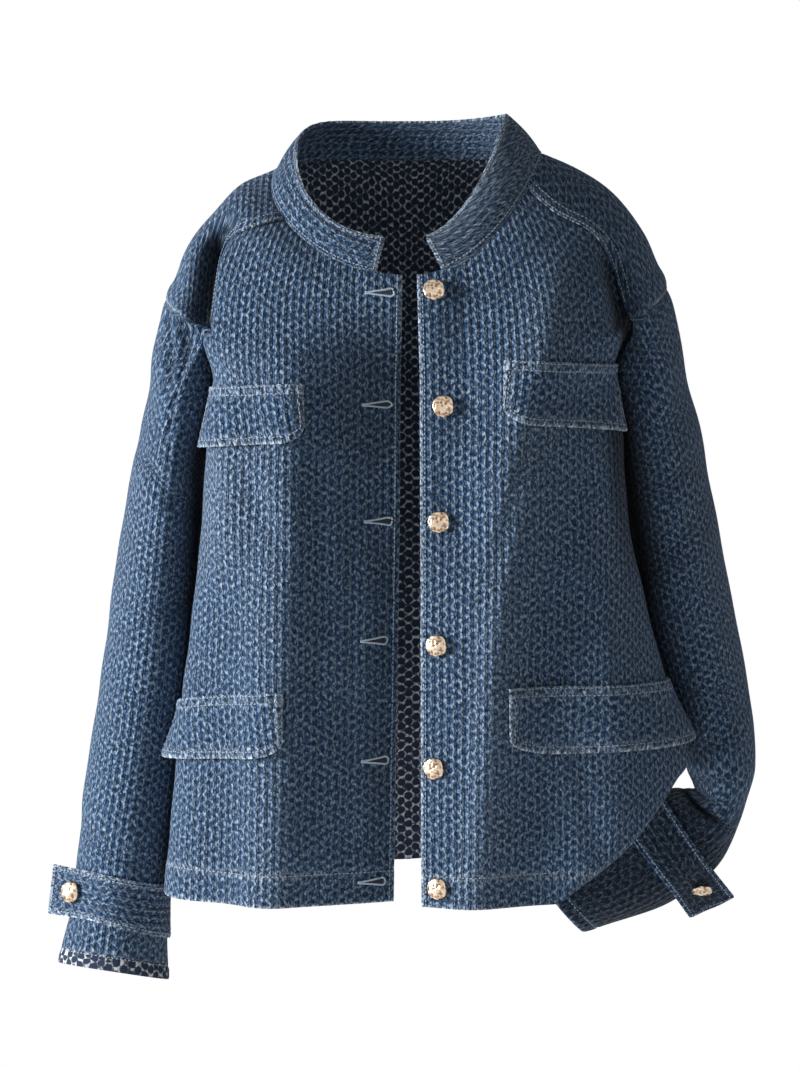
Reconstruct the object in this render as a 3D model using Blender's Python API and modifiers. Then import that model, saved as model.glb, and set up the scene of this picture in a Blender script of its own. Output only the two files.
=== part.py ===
"""Shirt jacket of patterned denim, filled out and empty: stand collar, forward shoulder seams, dropped sleeves,
four pocket flaps, strapped cuffs and shank buttons.

Metres, +Z up, the front faces -Y and the wearer's left is +X. The origin is the centre of the neck at shoulder
level, where the wearer's shoulders carry the jacket.
"""

import math

import bpy
import numpy as np
from mathutils import Matrix, Vector
from mathutils.bvhtree import BVHTree

for old in list(bpy.data.objects):
    bpy.data.objects.remove(old, do_unlink=True)

NAME = "shirt_jacket"
MM = 0.001
RIGHT = -1
LEFT = 1
SIDE_NAMES = {RIGHT: "right", LEFT: "left"}

# Driving sizes, in metres unless the name says degrees
CLOTH_WALL = 0.0016
SEAM_GAP = 0.0005
FLAP_WALL = 0.0022
FLAP_CLEAR = 0.0016
STRAP_WALL = 0.0020
STRAP_CLEAR = 0.0006
BUTTON_RADIUS = 0.0083
BUTTON_HEIGHT = 0.0050
BUTTON_CLEAR = 0.0004
SHOULDER_SEAM_DEG = {RIGHT: (62.0, 58.0, 57.0, 59.5, 63.0), LEFT: (59.0, 57.5, 57.0, 59.5, 63.0)}
SIDE_SEAM_DEG = 105.0
ARMHOLE_BACK_DEG = 24.0
SECTION_ROUND = 0.88
FRONT_EDGE = {RIGHT: ((0, -6.0), (5, -8.0), (8, -13.0)), LEFT: ((0, 5.0), (5, 7.5), (8, 8.5))}

# Counts of the cloth's rows and columns
ROWS_SHOULDER = 9
ROWS_ARMHOLE = 7
ROWS_LOW = 13
COLUMNS_FRONT = 13
COLUMNS_YOKE = 5
COLUMNS_BACK = 9
ROWS_SLEEVE = 27

# Loops round the body from the neck seam (t 0) over the shoulders to the underarm (t 5) and the hem (t 8), in mm
LOOP_COLUMNS = ("t", "z_front", "z_side_right", "z_side_left", "z_back", "half_right", "half_left",
                "y_front", "y_side", "y_back", "lean_right", "lean_left")
LOOPS = (
    (0.0, -86, -15, 9, 6, 110, 104, -82, 4, 62, 75, 5),
    (1.0, -104, -19, -4, -14, 133, 131, -92, 4, 82, 50, 20),
    (2.0, -123, -42, -25, -44, 160, 163, -100, 4, 97, 35, 25),
    (3.0, -143, -72, -57, -80, 181, 188, -107, 4, 107, 28, 24),
    (4.0, -164, -107, -99, -120, 194, 206, -112, 3, 114, 20, 20),
    (4.5, -206, -170, -166, -184, 160, 168, -117, -20, 118, 10, 10),
    (5.0, -248, -232, -232, -246, 161, 168, -119, -38, 121, 0, 0),
    (6.0, -350, -350, -350, -350, 172, 187, -120, -42, 121, 0, 0),
    (7.0, -476, -476, -476, -476, 186, 222, -118, -42, 117, 0, 0),
    (8.0, -577, -577, -577, -577, 195, 232, -116, -40, 114, 0, 0),
)
# The stand collar's top edge, with the same columns
COLLAR_TOP = dict(zip(LOOP_COLUMNS, (0.0, -57, -1, 40, 35, 91, 76, -71, 2, 54, 95, 0)))
COLLAR_END_X = {RIGHT: (26.0, 17.0), LEFT: (24.0, 10.0)}
COLLAR_BULGE = 0.002

# Height of the lower edge by angle from the centre front, in mm: the left side is hitched up over the wrist
HEM = {
    RIGHT: ((0, -577), (60, -578), (120, -577), (180, -577)),
    LEFT: ((0, -577), (26, -575), (31, -566), (38, -552), (47, -533), (59, -505), (74, -482), (90, -476),
           (122, -476), (140, -515), (158, -570), (180, -577)),
}

# Largest folds of the body: soft ridges (height above 0) and troughs between two points of the front or back
FOLD_COLUMNS = ("face", "x_top", "z_top", "x_low", "z_low", "half_width", "height")
FOLDS = (
    ("front", -98, -230, -100, -640, 27, 8),
    ("front", -55, -110, -48, -430, 28, -8),
    ("front", -150, -300, -150, -640, 22, -4),
    ("front", 116, -80, 72, -290, 24, 8),
    ("front", 72, -290, 40, -640, 24, 8),
    ("front", 44, -90, 30, -300, 20, -6),
    ("front", 118, -300, 100, -600, 26, -5),
    ("back", -96, -130, -112, -640, 30, 8),
    ("back", -30, -190, -22, -640, 28, -6),
    ("back", 52, -150, 64, -640, 30, 7),
    ("back", 120, -200, 128, -600, 24, -6),
)
# Hollows where the body turns into the arm, before and behind
CREASE_COLUMNS = ("angle", "half_angle", "t_top", "t_low", "depth")
CREASES = (
    (67, 9, 1.5, 4.75, 19),
    (124, 12, 2.0, 5.2, 12),
)

# Sleeve rings from the armhole to the end: the ring's outer and inner points, middle and half depth, in mm
SLEEVE_COLUMNS = ("out_x", "out_z", "in_x", "in_z", "mid_y", "half_y", "front_up")
SLEEVES = {
    RIGHT: (
        (-194, -107, -161, -232, 5, 55, 0),
        (-201, -136, -164, -241, 12, 66, 0),
        (-209, -172, -166, -252, 16, 71, 0),
        (-217, -212, -168, -266, 20, 72, 0),
        (-225, -252, -170, -286, 22, 71, 0),
        (-237, -324, -172, -335, 24, 67, 0),
        (-249, -404, -178, -406, 22, 61, 0),
        (-261, -490, -187, -492, 16, 54, 0),
        (-268, -550, -193, -556, 8, 48, 2),
        (-272, -592, -196, -602, 2, 45, 5),
        (-283, -641, -195, -655, -5, 42, 8),
    ),
    LEFT: (
        (206, -99, 168, -232, 5, 55, 0),
        (212, -124, 171, -241, 12, 64, 0),
        (220, -158, 174, -252, 16, 69, 0),
        (230, -198, 178, -268, 20, 70, 0),
        (240, -246, 181, -290, 22, 69, 0),
        (254, -320, 190, -336, 24, 65, 0),
        (269, -392, 207, -400, 22, 59, 0),
        (278, -450, 228, -454, 16, 53, 0),
        (279, -482, 234, -486, 12, 49, 0),
        (271, -514, 237, -504, 10, 45, 0),
        (259, -546, 226, -512, 8, 42, 0),
        (246, -566, 207, -513, 6, 40, 0),
        (214, -590, 166, -535, 2, 39, 0),
        (180, -604, 132, -550, 0, 39, 0),
        (140, -616, 97, -564, -2, 39, 0),
    ),
}
SLEEVE_BODY_CLEAR = 0.004
# Folds across the sleeves: row, angle from the outside over the front, half sizes and height in mm
SLEEVE_FOLD_COLUMNS = ("side", "row", "angle", "half_row", "half_angle", "height")
SLEEVE_FOLDS = (
    (RIGHT, 2.2, 40, 0.5, 45, -4),
    (RIGHT, 6.6, 110, 0.6, 40, -5),
    (RIGHT, 7.3, 60, 0.4, 50, 4),
    (RIGHT, 6.2, 270, 0.7, 50, -5),
    (LEFT, 2.4, 50, 0.5, 45, -4),
    (LEFT, 6.4, 60, 0.5, 45, -4),
    (LEFT, 9.0, 150, 0.6, 40, -5),
    (LEFT, 5.8, 270, 0.7, 50, -5),
)

# Cuff straps: first and last sleeve rows, slant in rows, first and leaving angle, length of the free tab
STRAPS = {
    RIGHT: {"rows": (8.25, 9.15), "skew": 0.22, "angles": (190.0, 62.0), "tab": 0.042, "button": 0.024},
    LEFT: {"rows": (11.08, 11.92), "skew": 0.0, "angles": (190.0, 52.0), "tab": 0.048, "button": 0.024},
}

# Pocket flaps: inner end's x, outer end's angle, height of the inner and outer top corners, depth, flare, in mm
FLAP_COLUMNS = ("node", "side", "inner_x", "outer_deg", "inner_z", "outer_z", "drop_in", "drop_out", "flare")
FLAPS = (
    ("chest_flap_right", RIGHT, 84, 75, -170, -175, 44, 46, 8),
    ("chest_flap_left", LEFT, 73, 73, -152, -157, 47, 52, 7),
    ("hip_flap_right", RIGHT, 100, 94, -408, -424, 50, 45, 10),
    ("hip_flap_left", LEFT, 76, 92, -404, -406, 52, 48, 6),
)
FLAP_CORNER = 0.16

# Front buttons: place on the left front, in mm
FRONT_BUTTONS = ((18, -99), (25, -187), (22, -276), (21, -371), (19, -467), (22, -561))


def smooth_curve(knots, values, at):
    """A smooth curve through the values that never swings past them."""
    knots = np.asarray(knots, float)
    values = np.asarray(values, float)
    step = np.diff(knots)
    rise = np.diff(values) / step
    slope = np.concatenate([rise[:1], np.zeros(len(rise) - 1), rise[-1:]])
    for i in range(1, len(rise)):
        if rise[i - 1] * rise[i] > 0:
            slope[i] = 2 * rise[i - 1] * rise[i] / (rise[i - 1] + rise[i])
    at = np.asarray(at, float)
    i = np.clip(np.searchsorted(knots, at, side="right") - 1, 0, len(step) - 1)
    u = np.clip((at - knots[i]) / step[i], 0.0, 1.0)
    return (values[i] * (1 + 2 * u) * (1 - u) ** 2 + values[i + 1] * u * u * (3 - 2 * u)
            + step[i] * (slope[i] * u * (1 - u) ** 2 - slope[i + 1] * u * u * (1 - u)))


def ease(u):
    u = np.clip(u, 0.0, 1.0)
    return u * u * (3 - 2 * u)


def loop_value(column, t):
    index = LOOP_COLUMNS.index(column)
    return smooth_curve([row[0] for row in LOOPS], [row[index] for row in LOOPS], t) * MM


def loop_point(side, theta, value):
    """A point of a loop round the body at an angle from the centre front over the side to the centre back."""
    tag = SIDE_NAMES[side]
    sin = np.abs(np.sin(theta))
    cos = np.cos(theta)
    y_end = np.where(cos >= 0, value("y_front"), value("y_back"))
    x = side * value("half_" + tag) * sin ** SECTION_ROUND
    y = value("y_side") + (y_end - value("y_side")) * np.abs(cos) ** SECTION_ROUND
    z_side = value("z_side_" + tag)
    lean = value("lean_" + tag)
    u = np.clip(theta / (math.pi / 2), 0.0, 1.0)
    w = np.clip(theta / (math.pi / 2) - 1, 0.0, 1.0)
    fore = value("z_front") + (z_side - value("z_front")) * u * u * (3 - 2 * u) + lean * (u - 1) * u * u
    aft = z_side + (value("z_back") - z_side) * w * w * (3 - 2 * w) + lean * w * (1 - w) ** 2
    return np.stack([x, y, np.where(theta <= math.pi / 2, fore, aft)], axis=-1)


def torso(side, theta, t):
    """The outer face of the body's cloth at an angle and a loop, with its folds."""
    theta, t = np.broadcast_arrays(np.asarray(theta, float), np.asarray(t, float))
    point = loop_point(side, theta, lambda column: loop_value(column, t))
    x, y, z = point[..., 0].copy(), point[..., 1].copy(), point[..., 2]
    facing = np.cos(theta)
    for row in FOLDS:
        fold = dict(zip(FOLD_COLUMNS, row))
        along = np.clip((z / MM - fold["z_top"]) / (fold["z_low"] - fold["z_top"]), 0.0, 1.0)
        line = fold["x_top"] + (fold["x_low"] - fold["x_top"]) * along
        reach = ease((fold["z_top"] + 35 - z / MM) / 80) * ease((z / MM - fold["z_low"] + 35) / 80)
        swell = np.exp(-(((x / MM) - line) / fold["half_width"]) ** 2) * reach
        out = -1 if fold["face"] == "front" else 1
        y += out * fold["height"] * MM * swell * ease(-out * facing * 2.2)
    for row in CREASES:
        crease = dict(zip(CREASE_COLUMNS, row))
        reach = ease((t - crease["t_top"]) / 1.6) * ease((crease["t_low"] - t) / 0.6)
        sink = np.exp(-((np.degrees(theta) - crease["angle"]) / crease["half_angle"]) ** 2) * reach
        x -= side * np.sin(theta) * 0.7 * crease["depth"] * MM * sink
        y += np.cos(theta) * 1.3 * crease["depth"] * MM * sink
    return np.stack([x, y, z], axis=-1)


def torso_normal(side, theta, t):
    step = 1e-3
    across = torso(side, theta + step, t) - torso(side, theta - step, t)
    down = torso(side, theta, t + step) - torso(side, theta, t - step)
    normal = side * np.cross(down, across)
    return normal / np.linalg.norm(normal, axis=-1, keepdims=True)


def angle_at_x(side, t, x):
    half = loop_value("half_" + SIDE_NAMES[side], t)
    return np.arcsin(np.clip(np.abs(x) / half, 0.0, 1.0) ** (1 / SECTION_ROUND))


def loop_at_height(side, theta, z):
    """The loop whose point at an angle has a height, found by halving."""
    theta, z = np.broadcast_arrays(np.asarray(theta, float), np.asarray(z, float))
    low = np.zeros(z.shape)
    high = np.full(z.shape, 8.0)
    for _ in range(40):
        mid = (low + high) / 2
        below = torso(side, theta, mid)[..., 2] < z
        high = np.where(below, mid, high)
        low = np.where(below, low, mid)
    return (low + high) / 2


def hem_loop(side, theta):
    table = HEM[side]
    z = smooth_curve([row[0] for row in table], [row[1] for row in table], np.degrees(theta)) * MM
    return loop_at_height(side, np.full(np.shape(theta), math.pi / 2), z)


def front_limit(side, t):
    """The front's outer edge: shoulder seam, armhole, then side seam."""
    shoulder = SHOULDER_SEAM_DEG[side]
    seam = smooth_curve(range(len(shoulder)), shoulder, np.clip(t, 0.0, 4.0))
    return np.radians(seam + (SIDE_SEAM_DEG - shoulder[-1]) * np.clip(t - 4, 0.0, 1.0))


def back_limit(t):
    """The back's edge below the top of the armhole."""
    along = np.clip(t - 4, 0.0, 1.0)
    bow = ARMHOLE_BACK_DEG * np.sin(math.pi * along ** 0.8)
    return np.radians(90 + (SIDE_SEAM_DEG - 90) * along + bow)


def pull_in(points, toward, gap):
    way = toward - points
    return points + way / np.linalg.norm(way, axis=-1, keepdims=True) * gap


# Collection and materials
collection = bpy.data.collections.new(NAME)
bpy.context.scene.collection.children.link(collection)


def material_for(name, colour, metallic, roughness):
    material = bpy.data.materials.new(name)
    material.use_nodes = True
    shader = material.node_tree.nodes["Principled BSDF"]
    shader.inputs["Base Color"].default_value = (*colour, 1.0)
    shader.inputs["Metallic"].default_value = metallic
    shader.inputs["Roughness"].default_value = roughness
    return material


DENIM = (0.075, 0.13, 0.23)
GOLD = (0.72, 0.52, 0.28)


def cloth_sheet(name, grid, wall, offset, keep=None, closed=False, flip=False):
    """A sheet through a grid of points, thickened to a wall. Cells named in keep, or all, become cloth."""
    rows, columns = grid.shape[:2]
    spans = columns if closed else columns - 1
    faces = []
    for i in range(rows - 1):
        for j in range(spans):
            if keep is None or keep[i, j]:
                k = (j + 1) % columns
                face = (i * columns + j, i * columns + k, (i + 1) * columns + k, (i + 1) * columns + j)
                faces.append(face[::-1] if flip else face)
    used = sorted({index for face in faces for index in face})
    place = {index: n for n, index in enumerate(used)}
    points = grid.reshape(-1, 3)
    mesh = bpy.data.meshes.new(name)
    mesh.from_pydata([tuple(points[index]) for index in used], [],
                     [tuple(place[index] for index in face) for face in faces])
    mesh.update()
    mesh.materials.append(material_for(name + "_cloth", DENIM, 0.0, 0.85))
    sheet = bpy.data.objects.new(name, mesh)
    collection.objects.link(sheet)
    wall_of = sheet.modifiers.new("wall", "SOLIDIFY")
    wall_of.thickness = wall
    wall_of.offset = offset
    wall_of.use_even_offset = True
    wall_of.use_quality_normals = True
    return sheet


# Rows shared by the fronts and the back, so that their seams run side by side
T_SHOULDER = np.linspace(0, 4, ROWS_SHOULDER)
T_ARMHOLE = np.linspace(4, 5, ROWS_ARMHOLE)[1:]
LOW_SHARE = np.linspace(0, 1, ROWS_LOW + 1)[1:]


def row_loops(side, theta_of):
    """Loops of each row and their angles: fixed rows to the underarm, then rows shared out down to the hem."""
    loops = []
    angles = []
    for t in np.concatenate([T_SHOULDER, T_ARMHOLE]):
        theta = theta_of(t)
        angles.append(theta)
        loops.append(np.full(theta.shape, t))
    for share in LOW_SHARE:
        theta = theta_of(5 + 3 * share)
        angles.append(theta)
        loops.append(5 + (hem_loop(side, theta) - 5) * share)
    return np.array(angles), np.array(loops)


def seat_on(tree, point, normal):
    """Where a line along the normal meets a piece's own face, and that face's direction."""
    place, face, _, _ = tree.ray_cast(Vector(point) + Vector(normal) * 0.03, -Vector(normal), 0.06)
    if place is None:
        return np.asarray(point), np.asarray(normal)
    return np.array(place), np.array(face) if face.dot(Vector(normal)) > 0 else -np.array(face)


# Fronts
edge_front = {}
front_faces = {}
for side in (RIGHT, LEFT):
    edge = FRONT_EDGE[side]
    columns = np.linspace(0, 1, COLUMNS_FRONT)

    def front_angles(t):
        x = smooth_curve([row[0] for row in edge], [row[1] for row in edge], t) * MM
        start = angle_at_x(side, t, x)
        return start + (front_limit(side, t) - start) * columns

    theta, t = row_loops(side, front_angles)
    grid = torso(side, theta, t)
    edge_front[side] = grid[ROWS_SHOULDER - 1:ROWS_SHOULDER + ROWS_ARMHOLE - 1, -1].copy()
    grid[:, -1] = pull_in(grid[:, -1], grid[:, -2], SEAM_GAP / 2)
    front = cloth_sheet("front_" + SIDE_NAMES[side], grid, CLOTH_WALL, -1.0, flip=side > 0)
    front_faces[side] = BVHTree.FromPolygons([v.co for v in front.data.vertices],
                                             [f.vertices for f in front.data.polygons])

# Back, over the shoulders to the forward seams
yoke_share = np.linspace(0, 1, COLUMNS_YOKE + 1)[:-1]
back_share = np.linspace(0, 1, COLUMNS_BACK + 1)
half_grids = {}
edge_back = {}
edge_yoke = {}
for side in (RIGHT, LEFT):

    def back_angles(t):
        seam = front_limit(side, min(t, 4))
        start = back_limit(t)
        yoke = seam + (math.pi / 2 - seam) * yoke_share
        return np.concatenate([yoke, start + (math.pi - start) * back_share])

    theta, t = row_loops(side, back_angles)
    grid = torso(side, theta, t)
    last = ROWS_SHOULDER - 1
    edge_back[side] = grid[last:last + ROWS_ARMHOLE, COLUMNS_YOKE].copy()
    edge_yoke[side] = grid[last, :COLUMNS_YOKE + 1].copy()
    grid[:last + 1, 0] = pull_in(grid[:last + 1, 0], grid[:last + 1, 1], SEAM_GAP / 2)
    grid[last, :COLUMNS_YOKE + 1] = pull_in(grid[last, :COLUMNS_YOKE + 1], grid[last - 1, :COLUMNS_YOKE + 1],
                                            SEAM_GAP / 2)
    grid[last + 1:, COLUMNS_YOKE] = pull_in(grid[last + 1:, COLUMNS_YOKE], grid[last + 1:, COLUMNS_YOKE + 1],
                                            SEAM_GAP / 2)
    half_grids[side] = grid
whole = np.concatenate([half_grids[RIGHT], half_grids[LEFT][:, -2::-1]], axis=1)
keep = np.ones((whole.shape[0] - 1, whole.shape[1] - 1), bool)
keep[ROWS_SHOULDER - 1:, :COLUMNS_YOKE] = False
keep[ROWS_SHOULDER - 1:, -COLUMNS_YOKE:] = False
cloth_sheet("back", whole, CLOTH_WALL, -1.0, keep=keep)

# Collar
ends = {side: np.array(COLLAR_END_X[side]) * MM for side in (RIGHT, LEFT)}
collar_rows = np.linspace(0, 1, 4)
collar_columns = np.linspace(0, 1, 16)
collar_grid = []
for share in collar_rows:
    line = {}
    for side in (RIGHT, LEFT):
        x = ends[side][0] + (ends[side][1] - ends[side][0]) * share
        half = (1 - share) * loop_value("half_" + SIDE_NAMES[side], 0.0)
        half += share * COLLAR_TOP["half_" + SIDE_NAMES[side]] * MM
        start = math.asin((x / half) ** (1 / SECTION_ROUND))
        theta = start + (math.pi - start) * collar_columns
        low = loop_point(side, theta, lambda column: loop_value(column, np.zeros(theta.shape)))
        top = loop_point(side, theta, lambda column: np.full(theta.shape, COLLAR_TOP[column] * MM))
        rise = SEAM_GAP / np.linalg.norm(top - low, axis=-1, keepdims=True)
        point = low + (top - low) * (rise + (1 - rise) * share)
        away = np.stack([side * np.sin(theta), -np.cos(theta), np.full(theta.shape, 0.35)], axis=-1)
        line[side] = point + away * COLLAR_BULGE * math.sin(math.pi * share)
    collar_grid.append(np.concatenate([line[RIGHT], line[LEFT][-2::-1]]))
cloth_sheet("collar", np.array(collar_grid), CLOTH_WALL, -1.0, flip=True)


# Sleeves
def sleeve_value(side, column, row):
    index = SLEEVE_COLUMNS.index(column)
    table = SLEEVES[side]
    return smooth_curve(range(len(table)), [entry[index] for entry in table], row) * MM


def sleeve_ring(side, row, psi):
    """A plain ring of the sleeve: angle 0 is its outer point, 90 degrees its front, 180 its inner point."""
    row, psi = np.broadcast_arrays(np.asarray(row, float), np.asarray(psi, float))
    share = (1 + np.cos(psi)) / 2
    x = sleeve_value(side, "in_x", row) * (1 - share) + sleeve_value(side, "out_x", row) * share
    z = sleeve_value(side, "in_z", row) * (1 - share) + sleeve_value(side, "out_z", row) * share
    y = sleeve_value(side, "mid_y", row) - sleeve_value(side, "half_y", row) * np.sin(psi)
    return np.stack([x, y, z + sleeve_value(side, "front_up", row) * np.sin(psi)], axis=-1)


def body_wall(side, y, z):
    """How far out the body's side stands at a depth and a height below the underarm."""
    t = np.clip(np.interp(-z, [-row[2] * MM for row in LOOPS[6:]], [row[0] for row in LOOPS[6:]]), 5, 8)
    y_side = loop_value("y_side", t)
    reach = np.where(y > y_side, loop_value("y_back", t) - y_side, y_side - loop_value("y_front", t))
    share = np.clip(np.abs(y - y_side) / reach, 0.0, 1.0) ** (2 / SECTION_ROUND)
    return loop_value("half_" + SIDE_NAMES[side], t) * (1 - share) ** (SECTION_ROUND / 2)


def sleeve_point(side, row, psi, armhole=None):
    """The sleeve's outer face. Near the armhole it takes the seam's own line."""
    point = sleeve_ring(side, row, psi)
    row, psi = np.broadcast_arrays(np.asarray(row, float), np.asarray(psi, float))
    if armhole is not None:
        offset = armhole - sleeve_ring(side, 0.0, psi[0])
        point = point + offset[None] * (1 - ease(row / 2.6))[..., None]
    out = np.stack([side * np.cos(psi), -np.sin(psi), np.zeros(psi.shape)], axis=-1)
    for entry in SLEEVE_FOLDS:
        fold = dict(zip(SLEEVE_FOLD_COLUMNS, entry))
        if fold["side"] == side:
            turn = (np.degrees(psi) - fold["angle"] + 180) % 360 - 180
            swell = np.exp(-((row - fold["row"]) / fold["half_row"]) ** 2 - (turn / fold["half_angle"]) ** 2)
            point = point + out * (fold["height"] * MM * swell * ease(row / 1.5))[..., None]
    hem_side = HEM[side][-4 if side == LEFT else 1][1] * MM
    limit = body_wall(side, point[..., 1], point[..., 2]) + SLEEVE_BODY_CLEAR
    beside = (point[..., 2] < -0.236) & (point[..., 2] > hem_side - 0.004) & (row > 0.2)
    near = beside & (side * point[..., 0] < limit)
    point[..., 0] = np.where(near, side * limit, point[..., 0])
    return point


for side in (RIGHT, LEFT):
    fore = np.concatenate([edge_yoke[side][::-1], edge_front[side][1:]])
    aft = edge_back[side][-2:0:-1]
    armhole = np.concatenate([fore, aft])
    lengths = np.linalg.norm(np.diff(np.concatenate([fore, aft, fore[:1]]), axis=0), axis=1)
    travelled = np.concatenate([[0.0], np.cumsum(lengths)])
    turn = len(fore) - 1
    psi = np.interp(travelled[:-1], [0.0, travelled[turn], travelled[-1]], [0.0, math.pi, 2 * math.pi])
    last = len(SLEEVES[side]) - 1
    rows = last * np.linspace(0, 1, ROWS_SLEEVE) ** 1.15
    grid = sleeve_point(side, rows[:, None], np.broadcast_to(psi, (ROWS_SLEEVE, len(psi))), armhole)
    grid[0] = pull_in(grid[0], grid[1], SEAM_GAP)
    cloth_sheet("sleeve_" + SIDE_NAMES[side], grid, CLOTH_WALL, -1.0, closed=True, flip=side < 0)


# Cuff straps, round the front of each sleeve and out into a free tab
def strap_frame(side, row, psi):
    step = 1e-3
    point = sleeve_point(side, row, psi)
    around = sleeve_point(side, row, psi + step) - sleeve_point(side, row, psi - step)
    down = sleeve_point(side, row + step, psi) - sleeve_point(side, row - step, psi)
    normal = side * np.cross(around, down)
    normal = normal / np.linalg.norm(normal, axis=-1, keepdims=True)
    around = around / np.linalg.norm(around, axis=-1, keepdims=True)
    return point, normal, around


cuff_button_seat = {}
for side in (RIGHT, LEFT):
    strap = STRAPS[side]
    across = np.linspace(0, 1, 4)
    rows = strap["rows"][0] + (strap["rows"][1] - strap["rows"][0]) * across
    psi = np.radians(np.linspace(strap["angles"][0], strap["angles"][1], 17))
    slant = strap["skew"] * (1 - np.cos(psi)) / 2
    point, normal, around = strap_frame(side, rows[:, None] + slant, np.broadcast_to(psi, (len(rows), len(psi))))
    band = point + normal * STRAP_CLEAR
    leave = -around[:, -1]
    leave = leave.mean(axis=0) / np.linalg.norm(leave.mean(axis=0))
    lengths = strap["tab"] * np.array([0.2, 0.45, 0.7, 0.88, 1.0])
    middle = band[:, -1].mean(axis=0)
    tab = []
    for length in lengths:
        narrow = 1 - 0.12 * max(0.0, (length / strap["tab"] - 0.86) / 0.14)
        tab.append(middle + (band[:, -1] - middle) * narrow + leave * length)
    grid = np.concatenate([band, np.stack(tab, axis=1)], axis=1)
    cloth_sheet("cuff_strap_" + SIDE_NAMES[side], grid, STRAP_WALL, 1.0, flip=side > 0)
    face = normal[:, -1].mean(axis=0)
    face = face / np.linalg.norm(face)
    cuff_button_seat[side] = (middle + leave * strap["button"] + face * STRAP_WALL, face)

# Pocket flaps, from the fronts' own points moved out
for row in FLAPS:
    flap = dict(zip(FLAP_COLUMNS, row))
    side = flap["side"]
    u = np.linspace(0, 1, 12)
    v = np.linspace(0, 1, 6)
    top = (flap["inner_z"] + (flap["outer_z"] - flap["inner_z"]) * u) * MM
    drop = (flap["drop_in"] + (flap["drop_out"] - flap["drop_in"]) * u) * MM
    corner = np.clip(1 - u / FLAP_CORNER, 0.0, 1.0)
    drop = drop - 0.012 * (1 - np.sqrt(1 - corner ** 2))
    z = top[None, :] - drop[None, :] * v[:, None]
    theta = np.full(z.shape, 0.8)
    for _ in range(4):
        t = loop_at_height(side, theta, z)
        start = angle_at_x(side, t, flap["inner_x"] * MM)
        theta = start + (math.radians(flap["outer_deg"]) - start) * u
    t = loop_at_height(side, theta, z)
    lift = FLAP_CLEAR + flap["flare"] * MM * v[:, None] ** 1.4 * (0.18 + 0.82 * u[None, :] ** 2)
    normal = torso_normal(side, theta, t)
    grid = torso(side, theta, t)
    for index in np.ndindex(z.shape):
        grid[index] = seat_on(front_faces[side], grid[index], normal[index])[0]
    grid = grid + normal * lift[..., None]
    cloth_sheet(flap["node"], grid, FLAP_WALL, 1.0, flip=side > 0)


# Shank buttons, turned
def turned_button(name, seat, face):
    r = BUTTON_RADIUS
    h = BUTTON_HEIGHT
    profile = ((0.0, h), (0.5 * r, 0.95 * h), (0.84 * r, 0.80 * h), (r, 0.55 * h), (0.93 * r, 0.36 * h),
               (0.36 * r, 0.28 * h), (0.30 * r, 0.0), (0.0, 0.0))
    mesh = bpy.data.meshes.new(name)
    mesh.from_pydata([(x, 0.0, z) for x, z in profile], [(i, i + 1) for i in range(len(profile) - 1)], [])
    mesh.materials.append(material_for(name + "_metal", GOLD, 1.0, 0.35))
    button = bpy.data.objects.new(name, mesh)
    collection.objects.link(button)
    turn = button.modifiers.new("turn", "SCREW")
    turn.axis = "Z"
    turn.angle = 2 * math.pi
    turn.steps = 14
    turn.render_steps = 14
    turn.use_merge_vertices = True
    turn.merge_threshold = 0.00005
    turn.use_normal_calculate = True
    z = np.asarray(face)
    x = np.cross((0.0, 0.0, 1.0), z)
    x = x / np.linalg.norm(x)
    y = np.cross(z, x)
    place = np.asarray(seat) + z * BUTTON_CLEAR
    button.matrix_world = Matrix([(x[i], y[i], z[i], place[i]) for i in range(3)] + [(0, 0, 0, 1)])
    return button


for n, (x, z) in enumerate(FRONT_BUTTONS, 1):
    t = loop_at_height(LEFT, 0.15, z * MM)
    theta = angle_at_x(LEFT, t, x * MM)
    t = loop_at_height(LEFT, theta, z * MM)
    turned_button(f"button_{n}", *seat_on(front_faces[LEFT], torso(LEFT, theta, t), torso_normal(LEFT, theta, t)))
for side in (RIGHT, LEFT):
    turned_button("cuff_button_" + SIDE_NAMES[side], *cuff_button_seat[side])
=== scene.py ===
"""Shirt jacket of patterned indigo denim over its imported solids. Metres, +Z up, the front faces -Y."""

import math

import bpy
import numpy as np
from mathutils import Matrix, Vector
from mathutils.bvhtree import BVHTree


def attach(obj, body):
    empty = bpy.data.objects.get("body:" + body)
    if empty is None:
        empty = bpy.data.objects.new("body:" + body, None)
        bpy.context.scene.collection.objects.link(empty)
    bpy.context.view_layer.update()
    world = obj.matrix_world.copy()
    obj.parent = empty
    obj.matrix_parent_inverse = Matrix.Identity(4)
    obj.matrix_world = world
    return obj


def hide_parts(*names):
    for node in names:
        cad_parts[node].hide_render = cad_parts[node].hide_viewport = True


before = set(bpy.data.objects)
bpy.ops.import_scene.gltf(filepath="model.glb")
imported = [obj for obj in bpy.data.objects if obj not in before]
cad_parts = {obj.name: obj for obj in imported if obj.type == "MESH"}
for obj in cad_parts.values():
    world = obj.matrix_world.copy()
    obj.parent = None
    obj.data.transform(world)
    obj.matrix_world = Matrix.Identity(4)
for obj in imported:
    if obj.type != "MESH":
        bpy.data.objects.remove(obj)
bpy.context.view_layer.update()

# The body: two fronts and a back that comes over the shoulders to a forward seam, cut from a heavy indigo
# cloth and sewn together. The lower edge and the front edges are turned in and stitched; the left side is
# hitched up.
MM = 0.001
RIGHT = -1
LEFT = 1
SIDE_NAMES = {RIGHT: "right", LEFT: "left"}
CLOTH_WALL = 0.0016
WEAVE_ACROSS = 6.1 * MM
WEAVE_ALONG = 7.8 * MM
SHOULDER_SEAM_DEG = {RIGHT: (62.0, 61.0, 65.5, 58.0, 53.5), LEFT: (59.0, 57.5, 60.0, 59.5, 57.0)}
SIDE_SEAM_DEG = 105.0
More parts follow.
